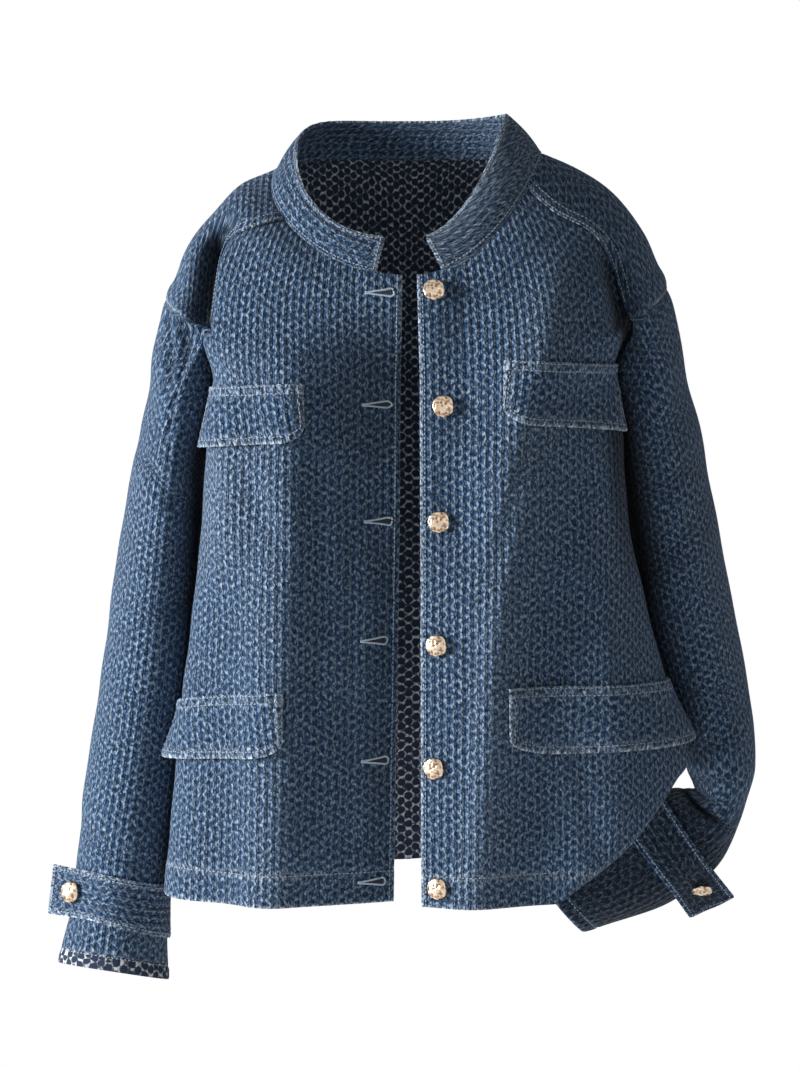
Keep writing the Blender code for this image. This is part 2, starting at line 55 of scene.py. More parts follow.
ARMHOLE_BACK_DEG = 24.0
SECTION_ROUND = 0.88
FRONT_EDGE = {RIGHT: ((0, -6.0), (5, -8.0), (8, -13.0)), LEFT: ((0, 5.0), (5, 7.5), (8, 8.5))}
HEM_TURN = 0.025
FRONT_TURN = 0.034
EDGE_STITCH = 0.004
YOKE_STITCHES = (0.002, 0.008)
TURN_STEP = 0.0005
TURN_BLEND = 0.002
SEAM_CALM = 0.02
PUCKER_LENGTH = 0.0085
# Widths and depths of the grooves along stitches, seams and rounded edges
HEM_GROOVE = (0.0016, 0.0007)
EDGE_GROOVE = (0.0012, 0.0004)
SEAM_GROOVE = (0.002, 0.0009)
FRONT_SEAM_GROOVE = (0.0025, 0.0012)
CUT_ROUND = (0.0008, 0.0006)
ROWS_SHOULDER = 46
ROWS_ARMHOLE = 46
ROWS_LOW = 140
ARM_ROWS = slice(ROWS_SHOULDER - 1, ROWS_SHOULDER + ROWS_ARMHOLE - 1)
COLUMNS_FRONT = 112
COLUMNS_YOKE = 24
COLUMNS_BACK = 58

# Loops round the body from the neck seam (t 0) to the underarm (t 5) and the hem (t 8), in mm
LOOP_COLUMNS = ("t", "z_front", "z_side_right", "z_side_left", "z_back", "half_right", "half_left",
                "y_front", "y_side", "y_back", "lean_right", "lean_left")
LOOPS = (
    (0.0, -86, -15, 9, 6, 110, 104, -82, 4, 62, 75, 5),
    (1.0, -104, -19, -4, -14, 133, 131, -92, 4, 82, 50, 20),
    (2.0, -123, -42, -25, -44, 160, 163, -100, 4, 97, 35, 25),
    (3.0, -143, -72, -57, -80, 181, 188, -107, 4, 107, 28, 24),
    (3.5, -153.5, -89.5, -78, -100, 187.5, 196, -109.5, 3.5, 110.5, 24, 22),
    (4.0, -164, -107, -99, -120, 194, 204, -112, 3, 114, 20, 20),
    (4.5, -206, -170, -166, -184, 160, 168, -117, -20, 118, 10, 10),
    (5.0, -248, -232, -232, -246, 161, 168, -119, -38, 121, 0, 0),
    (6.0, -350, -350, -350, -350, 172, 187, -120, -42, 121, 0, 0),
    (7.0, -476, -476, -476, -476, 186, 222, -118, -42, 117, 0, 0),
    (8.0, -577, -577, -577, -577, 195, 232, -116, -40, 114, 0, 0),
)
HEM = {
    RIGHT: ((0, -577), (60, -578), (120, -577), (180, -577)),
    LEFT: ((0, -577), (26, -575), (31, -566), (38, -552), (47, -533), (59, -505), (74, -482), (90, -476),
           (122, -476), (140, -515), (158, -570), (180, -577)),
}
# Soft ridges (height above 0) and troughs between two points of the front or back, in mm
FOLD_COLUMNS = ("face", "x_top", "z_top", "x_low", "z_low", "half_width", "height")
FOLDS = (
    ("front_right", -97, -150, -112, -640, 22, 9),
    ("front_right", -2, -120, -2, -700, 62, -35),
    ("front_right", -146, -150, -150, -330, 24, 12),
    ("front_left", -20, -120, -16, -700, 46, -14),
    ("front", -150, -300, -150, -640, 22, -4),
    ("front", 116, -80, 72, -290, 24, 9.5),
    ("front", 72, -290, 40, -640, 24, 9.5),
    ("front", 44, -90, 30, -300, 20, -6),
    ("front", 118, -300, 100, -600, 26, -5),
    ("back", -96, -130, -112, -640, 30, 8),
    ("back", -30, -190, -22, -640, 28, -6),
    ("back", 52, -150, 64, -640, 30, 7),
    ("back", 120, -200, 128, -600, 24, -6),
)
# Deep folds where the body turns into the arm, each with its first and last loop and its depth in mm. Those
# before the arm keep beside the seam: degrees from it, half angles to the front and back. Those behind it
# stand at one angle.
ARM_FOLD = {RIGHT: (1.5, 3.0, 8.0, 1.2, 5.1, 27), LEFT: (-3.0, 5.0, 4.5, 2.0, 5.2, 20)}
BACK_CREASE = (124, 12, 2.0, 5.2, 12)


def smooth_curve(knots, values, at):
    """A smooth curve through the values that never swings past them."""
    knots = np.asarray(knots, float)
    values = np.asarray(values, float)
    step = np.diff(knots)
    rise = np.diff(values) / step
    slope = np.concatenate([rise[:1], np.zeros(len(rise) - 1), rise[-1:]])
    for i in range(1, len(rise)):
        if rise[i - 1] * rise[i] > 0:
            slope[i] = 2 * rise[i - 1] * rise[i] / (rise[i - 1] + rise[i])
    at = np.asarray(at, float)
    i = np.clip(np.searchsorted(knots, at, side="right") - 1, 0, len(step) - 1)
    u = np.clip((at - knots[i]) / step[i], 0.0, 1.0)
    return (values[i] * (1 + 2 * u) * (1 - u) ** 2 + values[i + 1] * u * u * (3 - 2 * u)
            + step[i] * (slope[i] * u * (1 - u) ** 2 - slope[i + 1] * u * u * (1 - u)))


def ease(u):
    u = np.clip(u, 0.0, 1.0)
    return u * u * (3 - 2 * u)


def table_curve(table, at, column=1):
    """A smooth curve through one column of a table, over its first column, in metres."""
    return smooth_curve([row[0] for row in table], [row[column] for row in table], at) * MM


def loop_value(column, t):
    return table_curve(LOOPS, t, LOOP_COLUMNS.index(column))


def loop_point(side, theta, value, rounding=SECTION_ROUND):
    """A point of a loop round the body, at an angle from centre front over the side to centre back."""
    tag = SIDE_NAMES[side]
    sin = np.abs(np.sin(theta))
    cos = np.cos(theta)
    y_side = value("y_side")
    y_end = np.where(cos >= 0, value("y_front"), value("y_back"))
    x = side * value("half_" + tag) * sin ** rounding
    y = y_side + (y_end - y_side) * np.abs(cos) ** SECTION_ROUND
    z_side = value("z_side_" + tag)
    z_front = value("z_front")
    lean = value("lean_" + tag)
    u = np.clip(theta / (math.pi / 2), 0.0, 1.0)
    w = np.clip(theta / (math.pi / 2) - 1, 0.0, 1.0)
    fore = z_front + (z_side - z_front) * u * u * (3 - 2 * u) + lean * (u - 1) * u * u
    aft = z_side + (value("z_back") - z_side) * w * w * (3 - 2 * w) + lean * w * (1 - w) ** 2
    return np.stack([x, y, np.where(theta <= math.pi / 2, fore, aft)], axis=-1)


def fold_swell(rows, face, x, z):
    """How far a table of folds lifts the cloth at a place on the front or back, in metres."""
    lift = np.zeros(np.shape(x))
    for row in rows:
        fold = dict(zip(FOLD_COLUMNS, row))
        if fold["face"] == face:
            along = np.clip((z / MM - fold["z_top"]) / (fold["z_low"] - fold["z_top"]), 0.0, 1.0)
            line = fold["x_top"] + (fold["x_low"] - fold["x_top"]) * along
            blend = min(35.0, 0.3 * (fold["z_top"] - fold["z_low"]))
            reach = ease((fold["z_top"] + blend - z / MM) / (2.3 * blend))
            reach = reach * ease((z / MM - fold["z_low"] + blend) / (2.3 * blend))
            lift += fold["height"] * MM * np.exp(-((x / MM - line) / fold["half_width"]) ** 2) * reach
    return lift


def arm_sink(side, theta, t):
    """How deep in the fold before the arm a place lies, from 0 to 1."""
    off, before, after, t_top, t_low, _ = ARM_FOLD[side]
    off = np.degrees(theta - front_limit(side, t)) - off
    sink = np.exp(-(off / np.where(off < 0, before, after)) ** 2)
    return sink * ease((t - t_top) / 1.2) * ease((t_low - t) / 0.9)


def torso(side, theta, t):
    """The outer face of the body's cloth at an angle and a loop, with its largest folds."""
    theta, t = np.broadcast_arrays(np.asarray(theta, float), np.asarray(t, float))
    point = loop_point(side, theta, lambda column: loop_value(column, t))
    x, y, z = point[..., 0].copy(), point[..., 1].copy(), point[..., 2]
    facing = np.cos(theta)
    for face, out in (("front", -1), ("front_" + SIDE_NAMES[side], -1), ("back", 1)):
        y += out * fold_swell(FOLDS, face, x, z) * ease(-out * facing * 2.2)
    sink = arm_sink(side, theta, t)
    depth = ARM_FOLD[side][-1] * MM
    x -= side * 0.25 * depth * sink
    y += 0.9 * depth * sink
    angle, half_angle, t_top, t_low, depth = BACK_CREASE
    sink = np.exp(-((np.degrees(theta) - angle) / half_angle) ** 2)
    sink = sink * ease((t - t_top) / 1.6) * ease((t_low - t) / 0.6)
    x -= side * np.sin(theta) * 0.7 * depth * MM * sink
    y += np.cos(theta) * 1.3 * depth * MM * sink
    return np.stack([x, y, z], axis=-1)


def unit(vectors):
    return vectors / np.maximum(np.linalg.norm(vectors, axis=-1, keepdims=True), 1e-12)


def torso_normal(side, theta, t):
    step = 1e-3
    across = torso(side, theta + step, t) - torso(side, theta - step, t)
    down = torso(side, theta, t + step) - torso(side, theta, t - step)
    return unit(side * np.cross(down, across))


def angle_at_x(side, t, x):
    half = loop_value("half_" + SIDE_NAMES[side], t)
    return np.arcsin(np.clip(np.abs(x) / half, 0.0, 1.0) ** (1 / SECTION_ROUND))


def loop_at_height(side, theta, z):
    """The loop whose point at an angle has a height, found by halving."""
    theta, z = np.broadcast_arrays(np.asarray(theta, float), np.asarray(z, float))
    low = np.zeros(z.shape)
    high = np.full(z.shape, 8.0)
    for _ in range(32):
        mid = (low + high) / 2
        point = loop_point(side, theta, lambda column: loop_value(column, mid))
        below = point[..., 2] < z
        high = np.where(below, mid, high)
        low = np.where(below, low, mid)
    return (low + high) / 2


def hem_loop(side, theta):
    z = table_curve(HEM[side], np.degrees(theta))
    return loop_at_height(side, np.full(np.shape(theta), math.pi / 2), z)


def front_limit(side, t):
    """The front's outer edge: shoulder seam, armhole, then side seam."""
    shoulder = SHOULDER_SEAM_DEG[side]
    seam = smooth_curve(range(len(shoulder)), shoulder, np.clip(t, 0.0, 4.0))
    return np.radians(seam + (SIDE_SEAM_DEG - shoulder[-1]) * np.clip(t - 4, 0.0, 1.0))


def back_limit(t):
    """The back's edge below the top of the armhole."""
    along = np.clip(t - 4, 0.0, 1.0)
    bow = ARMHOLE_BACK_DEG * np.sin(math.pi * along ** 0.8)
    return np.radians(90 + (SIDE_SEAM_DEG - 90) * along + bow)


def body_rows(side, angles_at):
    """Angles and loops of a panel's points: fixed rows to the underarm, then rows shared out to the hem."""
    fixed = np.concatenate([np.linspace(0, 4, ROWS_SHOULDER), np.linspace(4, 5, ROWS_ARMHOLE)[1:]])
    share = 1 - (1 - np.linspace(0, 1, ROWS_LOW + 1)[1:]) ** 1.2
    rows = np.concatenate([fixed, 5 + 3 * share])
    theta = np.array([angles_at(t) for t in rows])
    t = np.repeat(rows[:, None], theta.shape[1], axis=1)
    t[len(fixed):] = 5 + (hem_loop(side, theta[len(fixed):]) - 5) * share[:, None]
    return theta, t


def crowd(count, edge=0.55):
    """Shares from 0 to 1 that crowd towards both ends, where edges and seams need finer cloth."""
    plain = np.linspace(0, 1, count)
    return (1 - edge) * plain + edge * (1 - np.cos(math.pi * plain)) / 2


def travelled(grid, axis):
    """Length of cloth from the first row or column, along each line of a grid."""
    steps = np.linalg.norm(np.diff(grid, axis=axis), axis=-1)
    return np.concatenate([np.zeros_like(np.take(steps, [0], axis)), np.cumsum(steps, axis=axis)], axis=axis)


def grid_normal(grid, out):
    return unit(out * np.cross(np.gradient(grid, axis=0), np.gradient(grid, axis=1)))


def band(distance, width, amount):
    """A soft stripe along a line, for lifting the cloth, rubbing it pale and painting shade on it."""
    return amount * np.exp(-(distance / width) ** 2)


def groove(distance, width, depth):
    return -band(distance, width, depth)


def ripple(x, y, z):
    """Slow unevenness of washed cloth, about a millimetre, never quite repeating."""
    return 0.00042 * (np.sin(71 * x + 23 * z + 1.3) * np.sin(53 * z - 31 * y + 0.4)
                      + np.sin(39 * x - 47 * z + 2.1) + 0.6 * np.sin(113 * z + 61 * x - 44 * y))


def pucker(along, distance, line, reach=0.006, height=0.00045):
    """Small gathers along a stitched line, where the thread draws the cloth in."""
    wave = np.sin(along * 2 * math.pi / PUCKER_LENGTH + 1.7 * np.sin(along * 61))
    wave = wave * (0.6 + 0.4 * np.sin(along * 143))
    return height * wave * np.exp(-((distance - line) / reach) ** 2)


def hem_lift(along, to_hem):
    """The lower edge, turned up inside: a little thicker, with its stitched line drawn in."""
    lift = TURN_STEP * ease((HEM_TURN - to_hem) / TURN_BLEND)
    return lift + groove(to_hem - HEM_TURN, *HEM_GROOVE) + pucker(along, to_hem, HEM_TURN)


def hem_wear(to_hem):
    return band(to_hem, 0.0018, 0.8) + band(to_hem - HEM_TURN, 0.003, 0.35)


def srgb(code):
    """A colour in hex as linear values."""
    values = [int(code[i:i + 2], 16) / 255 for i in (1, 3, 5)]
    return tuple(v / 12.92 if v <= 0.04045 else ((v + 0.055) / 1.055) ** 2.4 for v in values) + (1.0,)


def plug(material, node, inputs):
    """Sets a node's inputs to values, or links them to other nodes or their outputs."""
    for socket, value in inputs.items():
        value = value.outputs[0] if isinstance(value, bpy.types.Node) else value
        if isinstance(value, bpy.types.NodeSocket):
            material.node_tree.links.new(value, node.inputs[socket])
        else:
            node.inputs[socket].default_value = value


def add(material, kind, inputs=None, **settings):
    """Adds a shader node with its settings and inputs."""
    node = material.node_tree.nodes.new("ShaderNode" + kind)
    for name, value in settings.items():
        setattr(node, name, value)
    plug(material, node, inputs or {})
    return node


def blank_material(name):
    material = bpy.data.materials.new(name)
    material.use_nodes = True
    return material, material.node_tree.nodes["Principled BSDF"]


def weave_distance(material, uv, across, along, half_across, half_along):
    """Distances from the middles of two staggered rows of woven ovals, one set halfway between the other."""
    parts = add(material, "SeparateXYZ", {0: uv})
    ax = add(material, "Math", {0: parts, 1: across}, operation="PINGPONG")
    ay = add(material, "Math", {0: parts.outputs[1], 1: along / 2}, operation="PINGPONG")
    bx = add(material, "Math", {0: across, 1: ax}, operation="SUBTRACT")
    by = add(material, "Math", {0: along / 2, 1: ay}, operation="SUBTRACT")
    lengths = []
    for x, y in ((ax, ay), (bx, by)):
        place = add(material, "CombineXYZ", {0: x, 1: y})
        scale = (1 / half_across, 1 / half_along, 0)
        scaled = add(material, "VectorMath", {0: place, 1: scale}, operation="MULTIPLY")
        length = add(material, "VectorMath", {0: scaled}, operation="LENGTH")
        lengths.append(length.outputs[1])
    return lengths


def patterned_denim():
    """Yarn-dyed indigo jacquard, garment washed: dark sunken ovals in a net of raised pale cords, with
    edges rubbed nearly white. Where the wear-and-shade value is below 0 the colour is darkened: painted
    shade in folds and creases and where the arm and body shade the cloth."""
    material, shader = blank_material("patterned indigo denim")
    grain = add(material, "UVMap", uv_map="grain")
    slub = add(material, "TexNoise", {"Vector": grain, "Scale": 120.0, "Detail": 4.0, "Roughness": 0.7})
    bent = add(material, "VectorMath", {0: slub.outputs["Color"], 1: (0.7 * MM, 0.9 * MM, 0), 2: grain},
               operation="MULTIPLY_ADD")
    first, second = weave_distance(material, bent, WEAVE_ACROSS, WEAVE_ALONG, 3.05 * MM, 3.9 * MM)
    nearest = add(material, "Math", {0: first, 1: second}, operation="MINIMUM")
    apart = add(material, "Math", {0: first, 1: second}, operation="SUBTRACT")
    apart = add(material, "Math", {0: apart}, operation="ABSOLUTE")
    yarn_way = add(material, "Mapping", {0: grain, "Scale": (540.0, 320.0, 1.0)})
    yarn = add(material, "TexNoise", {"Vector": yarn_way, "Scale": 1.0, "Detail": 2.0, "Roughness": 0.6})
    ragged = add(material, "Math", {0: yarn, 1: 1.1, 2: nearest}, operation="MULTIPLY_ADD")
    ring = add(material, "MapRange", {0: ragged, 1: 1.08, 2: 1.45, 3: 0.0, 4: 0.44},
               interpolation_type="SMOOTHSTEP")
    ragged = add(material, "Math", {0: yarn, 1: -1.0, 2: apart}, operation="MULTIPLY_ADD")
    cord = add(material, "MapRange", {0: ragged, 1: -0.60, 2: -0.08, 3: 0.85, 4: 0.0},
               interpolation_type="SMOOTHSTEP")
    net = add(material, "Math", {0: cord, 1: ring}, operation="MAXIMUM")
    rope_way = add(material, "SeparateXYZ", {0: bent})
    rope = add(material, "Math", {0: rope_way, 1: 2 * math.pi / WEAVE_ACROSS}, operation="MULTIPLY")
    rope = add(material, "Math", {0: rope}, operation="COSINE")
    first, second = weave_distance(material, bent, WEAVE_ACROSS / 3, WEAVE_ALONG / 3, 1.02 * MM, 1.3 * MM)
    fine = add(material, "Math", {0: first, 1: second}, operation="MINIMUM")
    wash = add(material, "TexNoise", {"Vector": grain, "Scale": 16.0, "Detail": 3.0})
    yarn_shown = add(material, "MapRange", {0: yarn, 1: 0.36, 2: 0.64, 3: 0.2, 4: 1.0})
    net_shown = add(material, "Math", {0: net, 1: yarn_shown}, operation="MULTIPLY")
    cell = add(material, "Mix", {0: wash, 6: srgb("#243c5d"), 7: srgb("#325379")}, data_type="RGBA")
    netted = add(material, "Mix", {0: net_shown, 6: cell.outputs[2], 7: srgb("#aac1d5")}, data_type="RGBA")
    wear_and_shade = add(material, "Attribute", attribute_name="wear_and_shade")
    rubbed_and_shaded = add(material, "Math", {0: wear_and_shade.outputs["Fac"], 1: yarn_shown}, operation="MULTIPLY")
    worn_and_shaded = add(material, "Mix", {0: rubbed_and_shaded, 6: netted.outputs[2], 7: srgb("#c2d1e0")}, data_type="RGBA")
    # Painted shade: where the wear-and-shade value is below 0 it darkens the colour, down to 0.12 of it
    painted_shade_factor = add(material, "MapRange", {0: wear_and_shade.outputs["Fac"], 1: -1.0, 2: 0.0, 3: 0.12, 4: 1.0})
    flecks = add(material, "MapRange", {0: yarn, 1: 0.34, 2: 0.66, 3: 0.3, 4: 1.65})
    flecks = add(material, "Math", {0: flecks, 1: painted_shade_factor}, operation="MULTIPLY")
    worn_and_shaded = add(material, "Mix", {0: 1.0, 6: worn_and_shaded.outputs[2], 7: flecks}, data_type="RGBA",
               blend_type="MULTIPLY")
    relief = add(material, "Math", {0: cord, 1: 0.9}, operation="MULTIPLY")
    for part, share in ((yarn, 0.9), (fine, 0.25), (rope, -0.3)):
        relief = add(material, "Math", {0: part, 1: share, 2: relief}, operation="MULTIPLY_ADD")
    bump = add(material, "Bump", {"Height": relief, "Distance": 2.0 * MM, "Strength": 1.0})
    plug(material, shader, {"Base Color": worn_and_shaded.outputs[2], "Normal": bump, "Roughness": 0.88,
                            "Specular IOR Level": 0.1, "Sheen Weight": 0.1, "Sheen Roughness": 0.5})
    return material


def denim_reverse():
    """The cloth's wrong side: nearly black cells in a net of pale weft, brightest where it floats over."""
    material, shader = blank_material("denim reverse side")
    grain = add(material, "UVMap", uv_map="grain")
    slub = add(material, "TexNoise", {"Vector": grain, "Scale": 120.0, "Detail": 3.0})
    bent = add(material, "VectorMath", {0: slub.outputs["Color"], 1: (2.4 * MM, 2.4 * MM, 0), 2: grain},
               operation="MULTIPLY_ADD")
    first, second = weave_distance(material, bent, WEAVE_ACROSS, WEAVE_ALONG, 3.7 * MM, 3.4 * MM)
    nearest = add(material, "Math", {0: first, 1: second}, operation="MINIMUM")
    net = add(material, "MapRange", {0: nearest, 1: 0.74, 2: 1.0, 3: 0.0, 4: 1.0},
              interpolation_type="SMOOTHSTEP")
    floats = add(material, "TexNoise", {"Vector": grain, "Scale": 300.0, "Detail": 1.0})
    thread_way = add(material, "MapRange", {0: floats, 1: 0.42, 2: 0.60, 3: 0.06, 4: 1.0})
    shown = add(material, "Math", {0: net, 1: thread_way}, operation="MULTIPLY")
    colour = add(material, "Mix", {0: shown, 6: srgb("#333f55"), 7: srgb("#e6ebef")}, data_type="RGBA")
    bump = add(material, "Bump", {"Height": net, "Distance": 0.9 * MM, "Strength": 0.9})
    plug(material, shader, {"Base Color": colour.outputs[2], "Normal": bump, "Roughness": 0.9,
                            "Specular IOR Level": 0.1})
    return material


denim = patterned_denim()
reverse = denim_reverse()
cloth = {}


def sew_sheet(name, grid, grain, wear_and_shade, faces_with, wall=CLOTH_WALL, offset=-1.0, keep=None, closed=False,
              flip=False, turned_rows=0):
    """A sheet of cloth through a grid of points: grain holds its woven lengths, the wear-and-shade values
    how rubbed each point is, or below 0 how much painted shade darkens it. Its last rows may be turned
    over, to show the other side."""
    rows, columns = grid.shape[:2]
    index = np.arange(rows * columns).reshape(rows, columns)
    left, right = index[:, :-1], index[:, 1:]
    faces = np.stack([left[:-1], right[:-1], right[1:], left[1:]], axis=-1)
    faces = (faces if keep is None else faces[keep]).reshape(-1, 4)
    if flip:
        faces = faces[:, ::-1]
    used = np.unique(faces)
    place = np.zeros(rows * columns, int)
    place[used] = np.arange(len(used))
    mesh = bpy.data.meshes.new(name + "_cloth")
    mesh.from_pydata(grid.reshape(-1, 3)[used].tolist(), [], place[faces].tolist())
    layer = mesh.uv_layers.new(name="grain")
    corners = np.zeros(len(mesh.loops), np.int32)
    mesh.loops.foreach_get("vertex_index", corners)
    layer.data.foreach_set("uv", grain.reshape(-1, 2)[used][corners].astype(np.float32).ravel())
    rubbed_and_shaded = mesh.attributes.new("wear_and_shade", "FLOAT", "POINT")
    rubbed_and_shaded.data.foreach_set("value", np.clip(wear_and_shade, -1, 1).reshape(-1)[used].astype(np.float32))
    mesh.materials.append(faces_with[0])
    mesh.materials.append(faces_with[1])
    if turned_rows:
        turned = np.repeat(np.arange(rows - 1) >= rows - 1 - turned_rows, columns - 1)
        mesh.polygons.foreach_set("material_index", turned.astype(np.int32))
    mesh.update()
    sheet = bpy.data.objects.new(name + "_cloth", mesh)
    bpy.context.scene.collection.objects.link(sheet)
    bpy.ops.object.select_all(action="DESELECT")
    bpy.context.view_layer.objects.active = sheet
    sheet.select_set(True)
    if closed:
        bpy.ops.object.mode_set(mode="EDIT")
        bpy.ops.mesh.select_all(action="SELECT")
        bpy.ops.mesh.remove_doubles(threshold=0.00002)
        bpy.ops.object.mode_set(mode="OBJECT")
    wall_of = sheet.modifiers.new("wall", "SOLIDIFY")
    wall_of.thickness = wall
    wall_of.offset = offset
    wall_of.material_offset = 1
    wall_of.material_offset_rim = 0
    bpy.ops.object.modifier_apply(modifier="wall")
    bpy.ops.object.shade_smooth_by_angle(angle=math.radians(50))
    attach(sheet, "root")
    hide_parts(name)
    points = [v.co for v in sheet.data.vertices]
    cloth[name] = grid, BVHTree.FromPolygons(points, [f.vertices for f in sheet.data.polygons])
    return sheet


# Smaller creases of the body's cloth, with the columns of the folds above
SMALL_FOLDS = (
    ("front", -72, -240, -76, -520, 9, -2.5),
    ("front", -120, -330, -124, -600, 10, 2.0),
    ("front", -30, -300, -36, -560, 12, 2.0),
    ("front", -140, -215, -100, -300, 10, -2.5),
    ("front", 96, -200, 60, -330, 8, -2.5),
    ("front", 52, -330, 36, -560, 8, -2.5),
    ("front", 140, -220, 108, -330, 10, -2.5),
    ("front", 150, -330, 160, -470, 10, 2.5),
    ("front", 126, -440, 148, -540, 9, -3.0),
    ("back", -60, -160, -70, -500, 10, -2.5),
    ("back", 10, -220, 16, -560, 12, 2.5),
    ("back", 90, -200, 100, -560, 10, -2.5),
    ("back", -140, -220, -120, -420, 12, 2.5),
)
HEM_LEVEL = -0.577
FOLDED_EDGE = 0.009
YOKE_LAP = 0.0014
YOKE_LAP_WIDTH = 0.011
YOKE_LAP_AHEAD = 0.002
ARM_FOLD_SHADE = 0.8
ARMHOLE_TOP = 4.02
SHOULDER_ROUND = 0.112
FOLD_WEAR_AND_SHADE = 9.0
ARM_SHADE = {RIGHT: 0.0, LEFT: 0.85}
ARM_SHADE_FROM_DEG = 59
ARM_SHADE_BLEND_DEG = 13
ARM_SEAM_SHADE = {RIGHT: 0.6, LEFT: 1.0}
ARM_SEAM_SHADE_REACH = {RIGHT: 0.012, LEFT: 0.017}
armhole_front = {}
for side in (RIGHT, LEFT):
    shares = crowd(COLUMNS_FRONT)

    def front_angles(t):
        start = angle_at_x(side, t, table_curve(FRONT_EDGE[side], t))
        return start + (front_limit(side, t) - start) * shares

    theta, t = body_rows(side, front_angles)
    grid = torso(side, theta, t)
    armhole_front[side] = grid[ARM_ROWS, -1].copy()
    from_edge = travelled(grid, 1)
    to_seam = from_edge[:, -1:] - from_edge
    down = travelled(grid, 0)
    to_cut = down[-1:] - down
    to_hem = np.maximum(to_cut, grid[..., 2] - HEM_LEVEL)
    lift = fold_swell(SMALL_FOLDS, "front", grid[..., 0], grid[..., 2]) + ripple(*np.moveaxis(grid, -1, 0))
    lift = lift * ease(to_seam / SEAM_CALM) * ease(down / SEAM_CALM)
    lift += hem_lift(from_edge, to_hem) + TURN_STEP * ease((FRONT_TURN - from_edge) / 0.003)
    lift += groove(from_edge - EDGE_STITCH, *EDGE_GROOVE) + pucker(down, from_edge, EDGE_STITCH)
    lift += groove(to_seam, *FRONT_SEAM_GROOVE) + groove(down, *SEAM_GROOVE)
    lift += groove(from_edge, *CUT_ROUND) + groove(to_hem, *CUT_ROUND)
    hitched = ease((grid[-1:, :, 2] - HEM_LEVEL - 0.003) / 0.012)
    rolled = np.clip(1 - to_cut / FOLDED_EDGE, 0.0, 1.0)
    lift -= hitched * FOLDED_EDGE * (1 - np.sqrt(1 - rolled ** 2))
    grid = grid + grid_normal(grid, side) * lift[..., None]
    grid[ARM_ROWS, -1] = armhole_front[side]
    grain = np.stack([side * from_edge, grid[..., 2]], axis=-1)
    # Painted shadow: a dark line along the front's outer seams, as under the back's lapped edge
    wear_and_shade = band(from_edge, 0.0016, 0.8) + hem_wear(to_hem) - band(to_seam, 0.003, 0.7)
    # Painted shade: darker in the deep fold before the arm, in a band by the armhole seam and on the side
    # that the arm shades. The large folds are painted darker in their troughs and made paler on their
    # ridges.
    wear_and_shade -= ARM_FOLD_SHADE * arm_sink(side, theta, t)
    seam_shade = band(to_seam, ARM_SEAM_SHADE_REACH[side], ARM_SEAM_SHADE[side])
    wear_and_shade -= seam_shade * ease((t - 3.4) / 0.6) * ease((5.8 - t) / 0.6)
    shade = ARM_SHADE[side] * ease((np.degrees(theta) - ARM_SHADE_FROM_DEG) / ARM_SHADE_BLEND_DEG)
    wear_and_shade -= shade * ease((t - 3.6) / 0.5) * ease((6.2 - t) / 1.4)
    for face in ("front", "front_" + SIDE_NAMES[side]):
        wear_and_shade += FOLD_WEAR_AND_SHADE * fold_swell(FOLDS, face, grid[..., 0], grid[..., 2])
    name = "front_" + SIDE_NAMES[side]
    front = sew_sheet(name, grid, grain, wear_and_shade, (denim, reverse), flip=side > 0)

yoke_shares = np.linspace(0, 1, COLUMNS_YOKE + 1)[:-1]
back_shares = np.linspace(0, 1, COLUMNS_BACK + 1)
half_backs = {}
half_sinks = {}
half_tucks = {}
armhole_back = {}
armhole_yoke = {}
for side in (RIGHT, LEFT):

    def back_angles(t):
        seam = front_limit(side, min(t, 4))
        start = back_limit(t)
        yoke = seam + (math.pi / 2 - seam) * yoke_shares
        return np.concatenate([yoke, start + (math.pi - start) * back_shares])

    theta, t = body_rows(side, back_angles)
    grid = torso(side, theta, t)
    armhole_back[side] = grid[ARM_ROWS, COLUMNS_YOKE].copy()
    armhole_yoke[side] = grid[ROWS_SHOULDER - 1, :COLUMNS_YOKE + 1].copy()
    half_backs[side] = grid
    half_sinks[side] = arm_sink(side, theta, t) * (t < ARMHOLE_TOP)
    off = np.degrees(theta - front_limit(side, t)) - ARM_FOLD[side][0]
    peak = arm_sink(side, theta - np.radians(off), t) * (t < ARMHOLE_TOP)
    tuck = np.where(off > 0, half_sinks[side], 2 * peak - half_sinks[side])
    half_tucks[side] = side * 0.5 * ARM_FOLD[side][-1] * MM * tuck


def both_halves(halves):
    """The right half's columns followed by the left half's, which share the one at the centre back."""
    return np.concatenate([halves[RIGHT], halves[LEFT][:, -2::-1]], axis=1)


grid = both_halves(half_backs)
keep = np.ones((grid.shape[0] - 1, grid.shape[1] - 1), bool)
keep[ROWS_SHOULDER - 1:, :COLUMNS_YOKE] = False
keep[ROWS_SHOULDER - 1:, -COLUMNS_YOKE:] = False
across = travelled(grid, 1)
down = travelled(grid, 0)
to_hem = down[-1:] - down
inner = np.zeros(grid.shape[:2])
inner[:ROWS_SHOULDER] = np.minimum(across, across[:, -1:] - across)[:ROWS_SHOULDER]
low = across - across[:, COLUMNS_YOKE:COLUMNS_YOKE + 1]
high = across[:, -COLUMNS_YOKE - 1:-COLUMNS_YOKE] - across
inner[ROWS_SHOULDER:] = np.clip(np.minimum(low, high), 0, None)[ROWS_SHOULDER:]
sleeve_seam = np.full(grid.shape[:2], 1.0)
to_arm = down[ROWS_SHOULDER - 1:ROWS_SHOULDER] - down
yokes = (slice(0, COLUMNS_YOKE + 1), slice(-COLUMNS_YOKE - 1, None))
for yoke in yokes:
    sleeve_seam[:ROWS_SHOULDER, yoke] = to_arm[:ROWS_SHOULDER, yoke]
lift = fold_swell(SMALL_FOLDS, "back", grid[..., 0], grid[..., 2]) * (grid[..., 1] > 0.05)
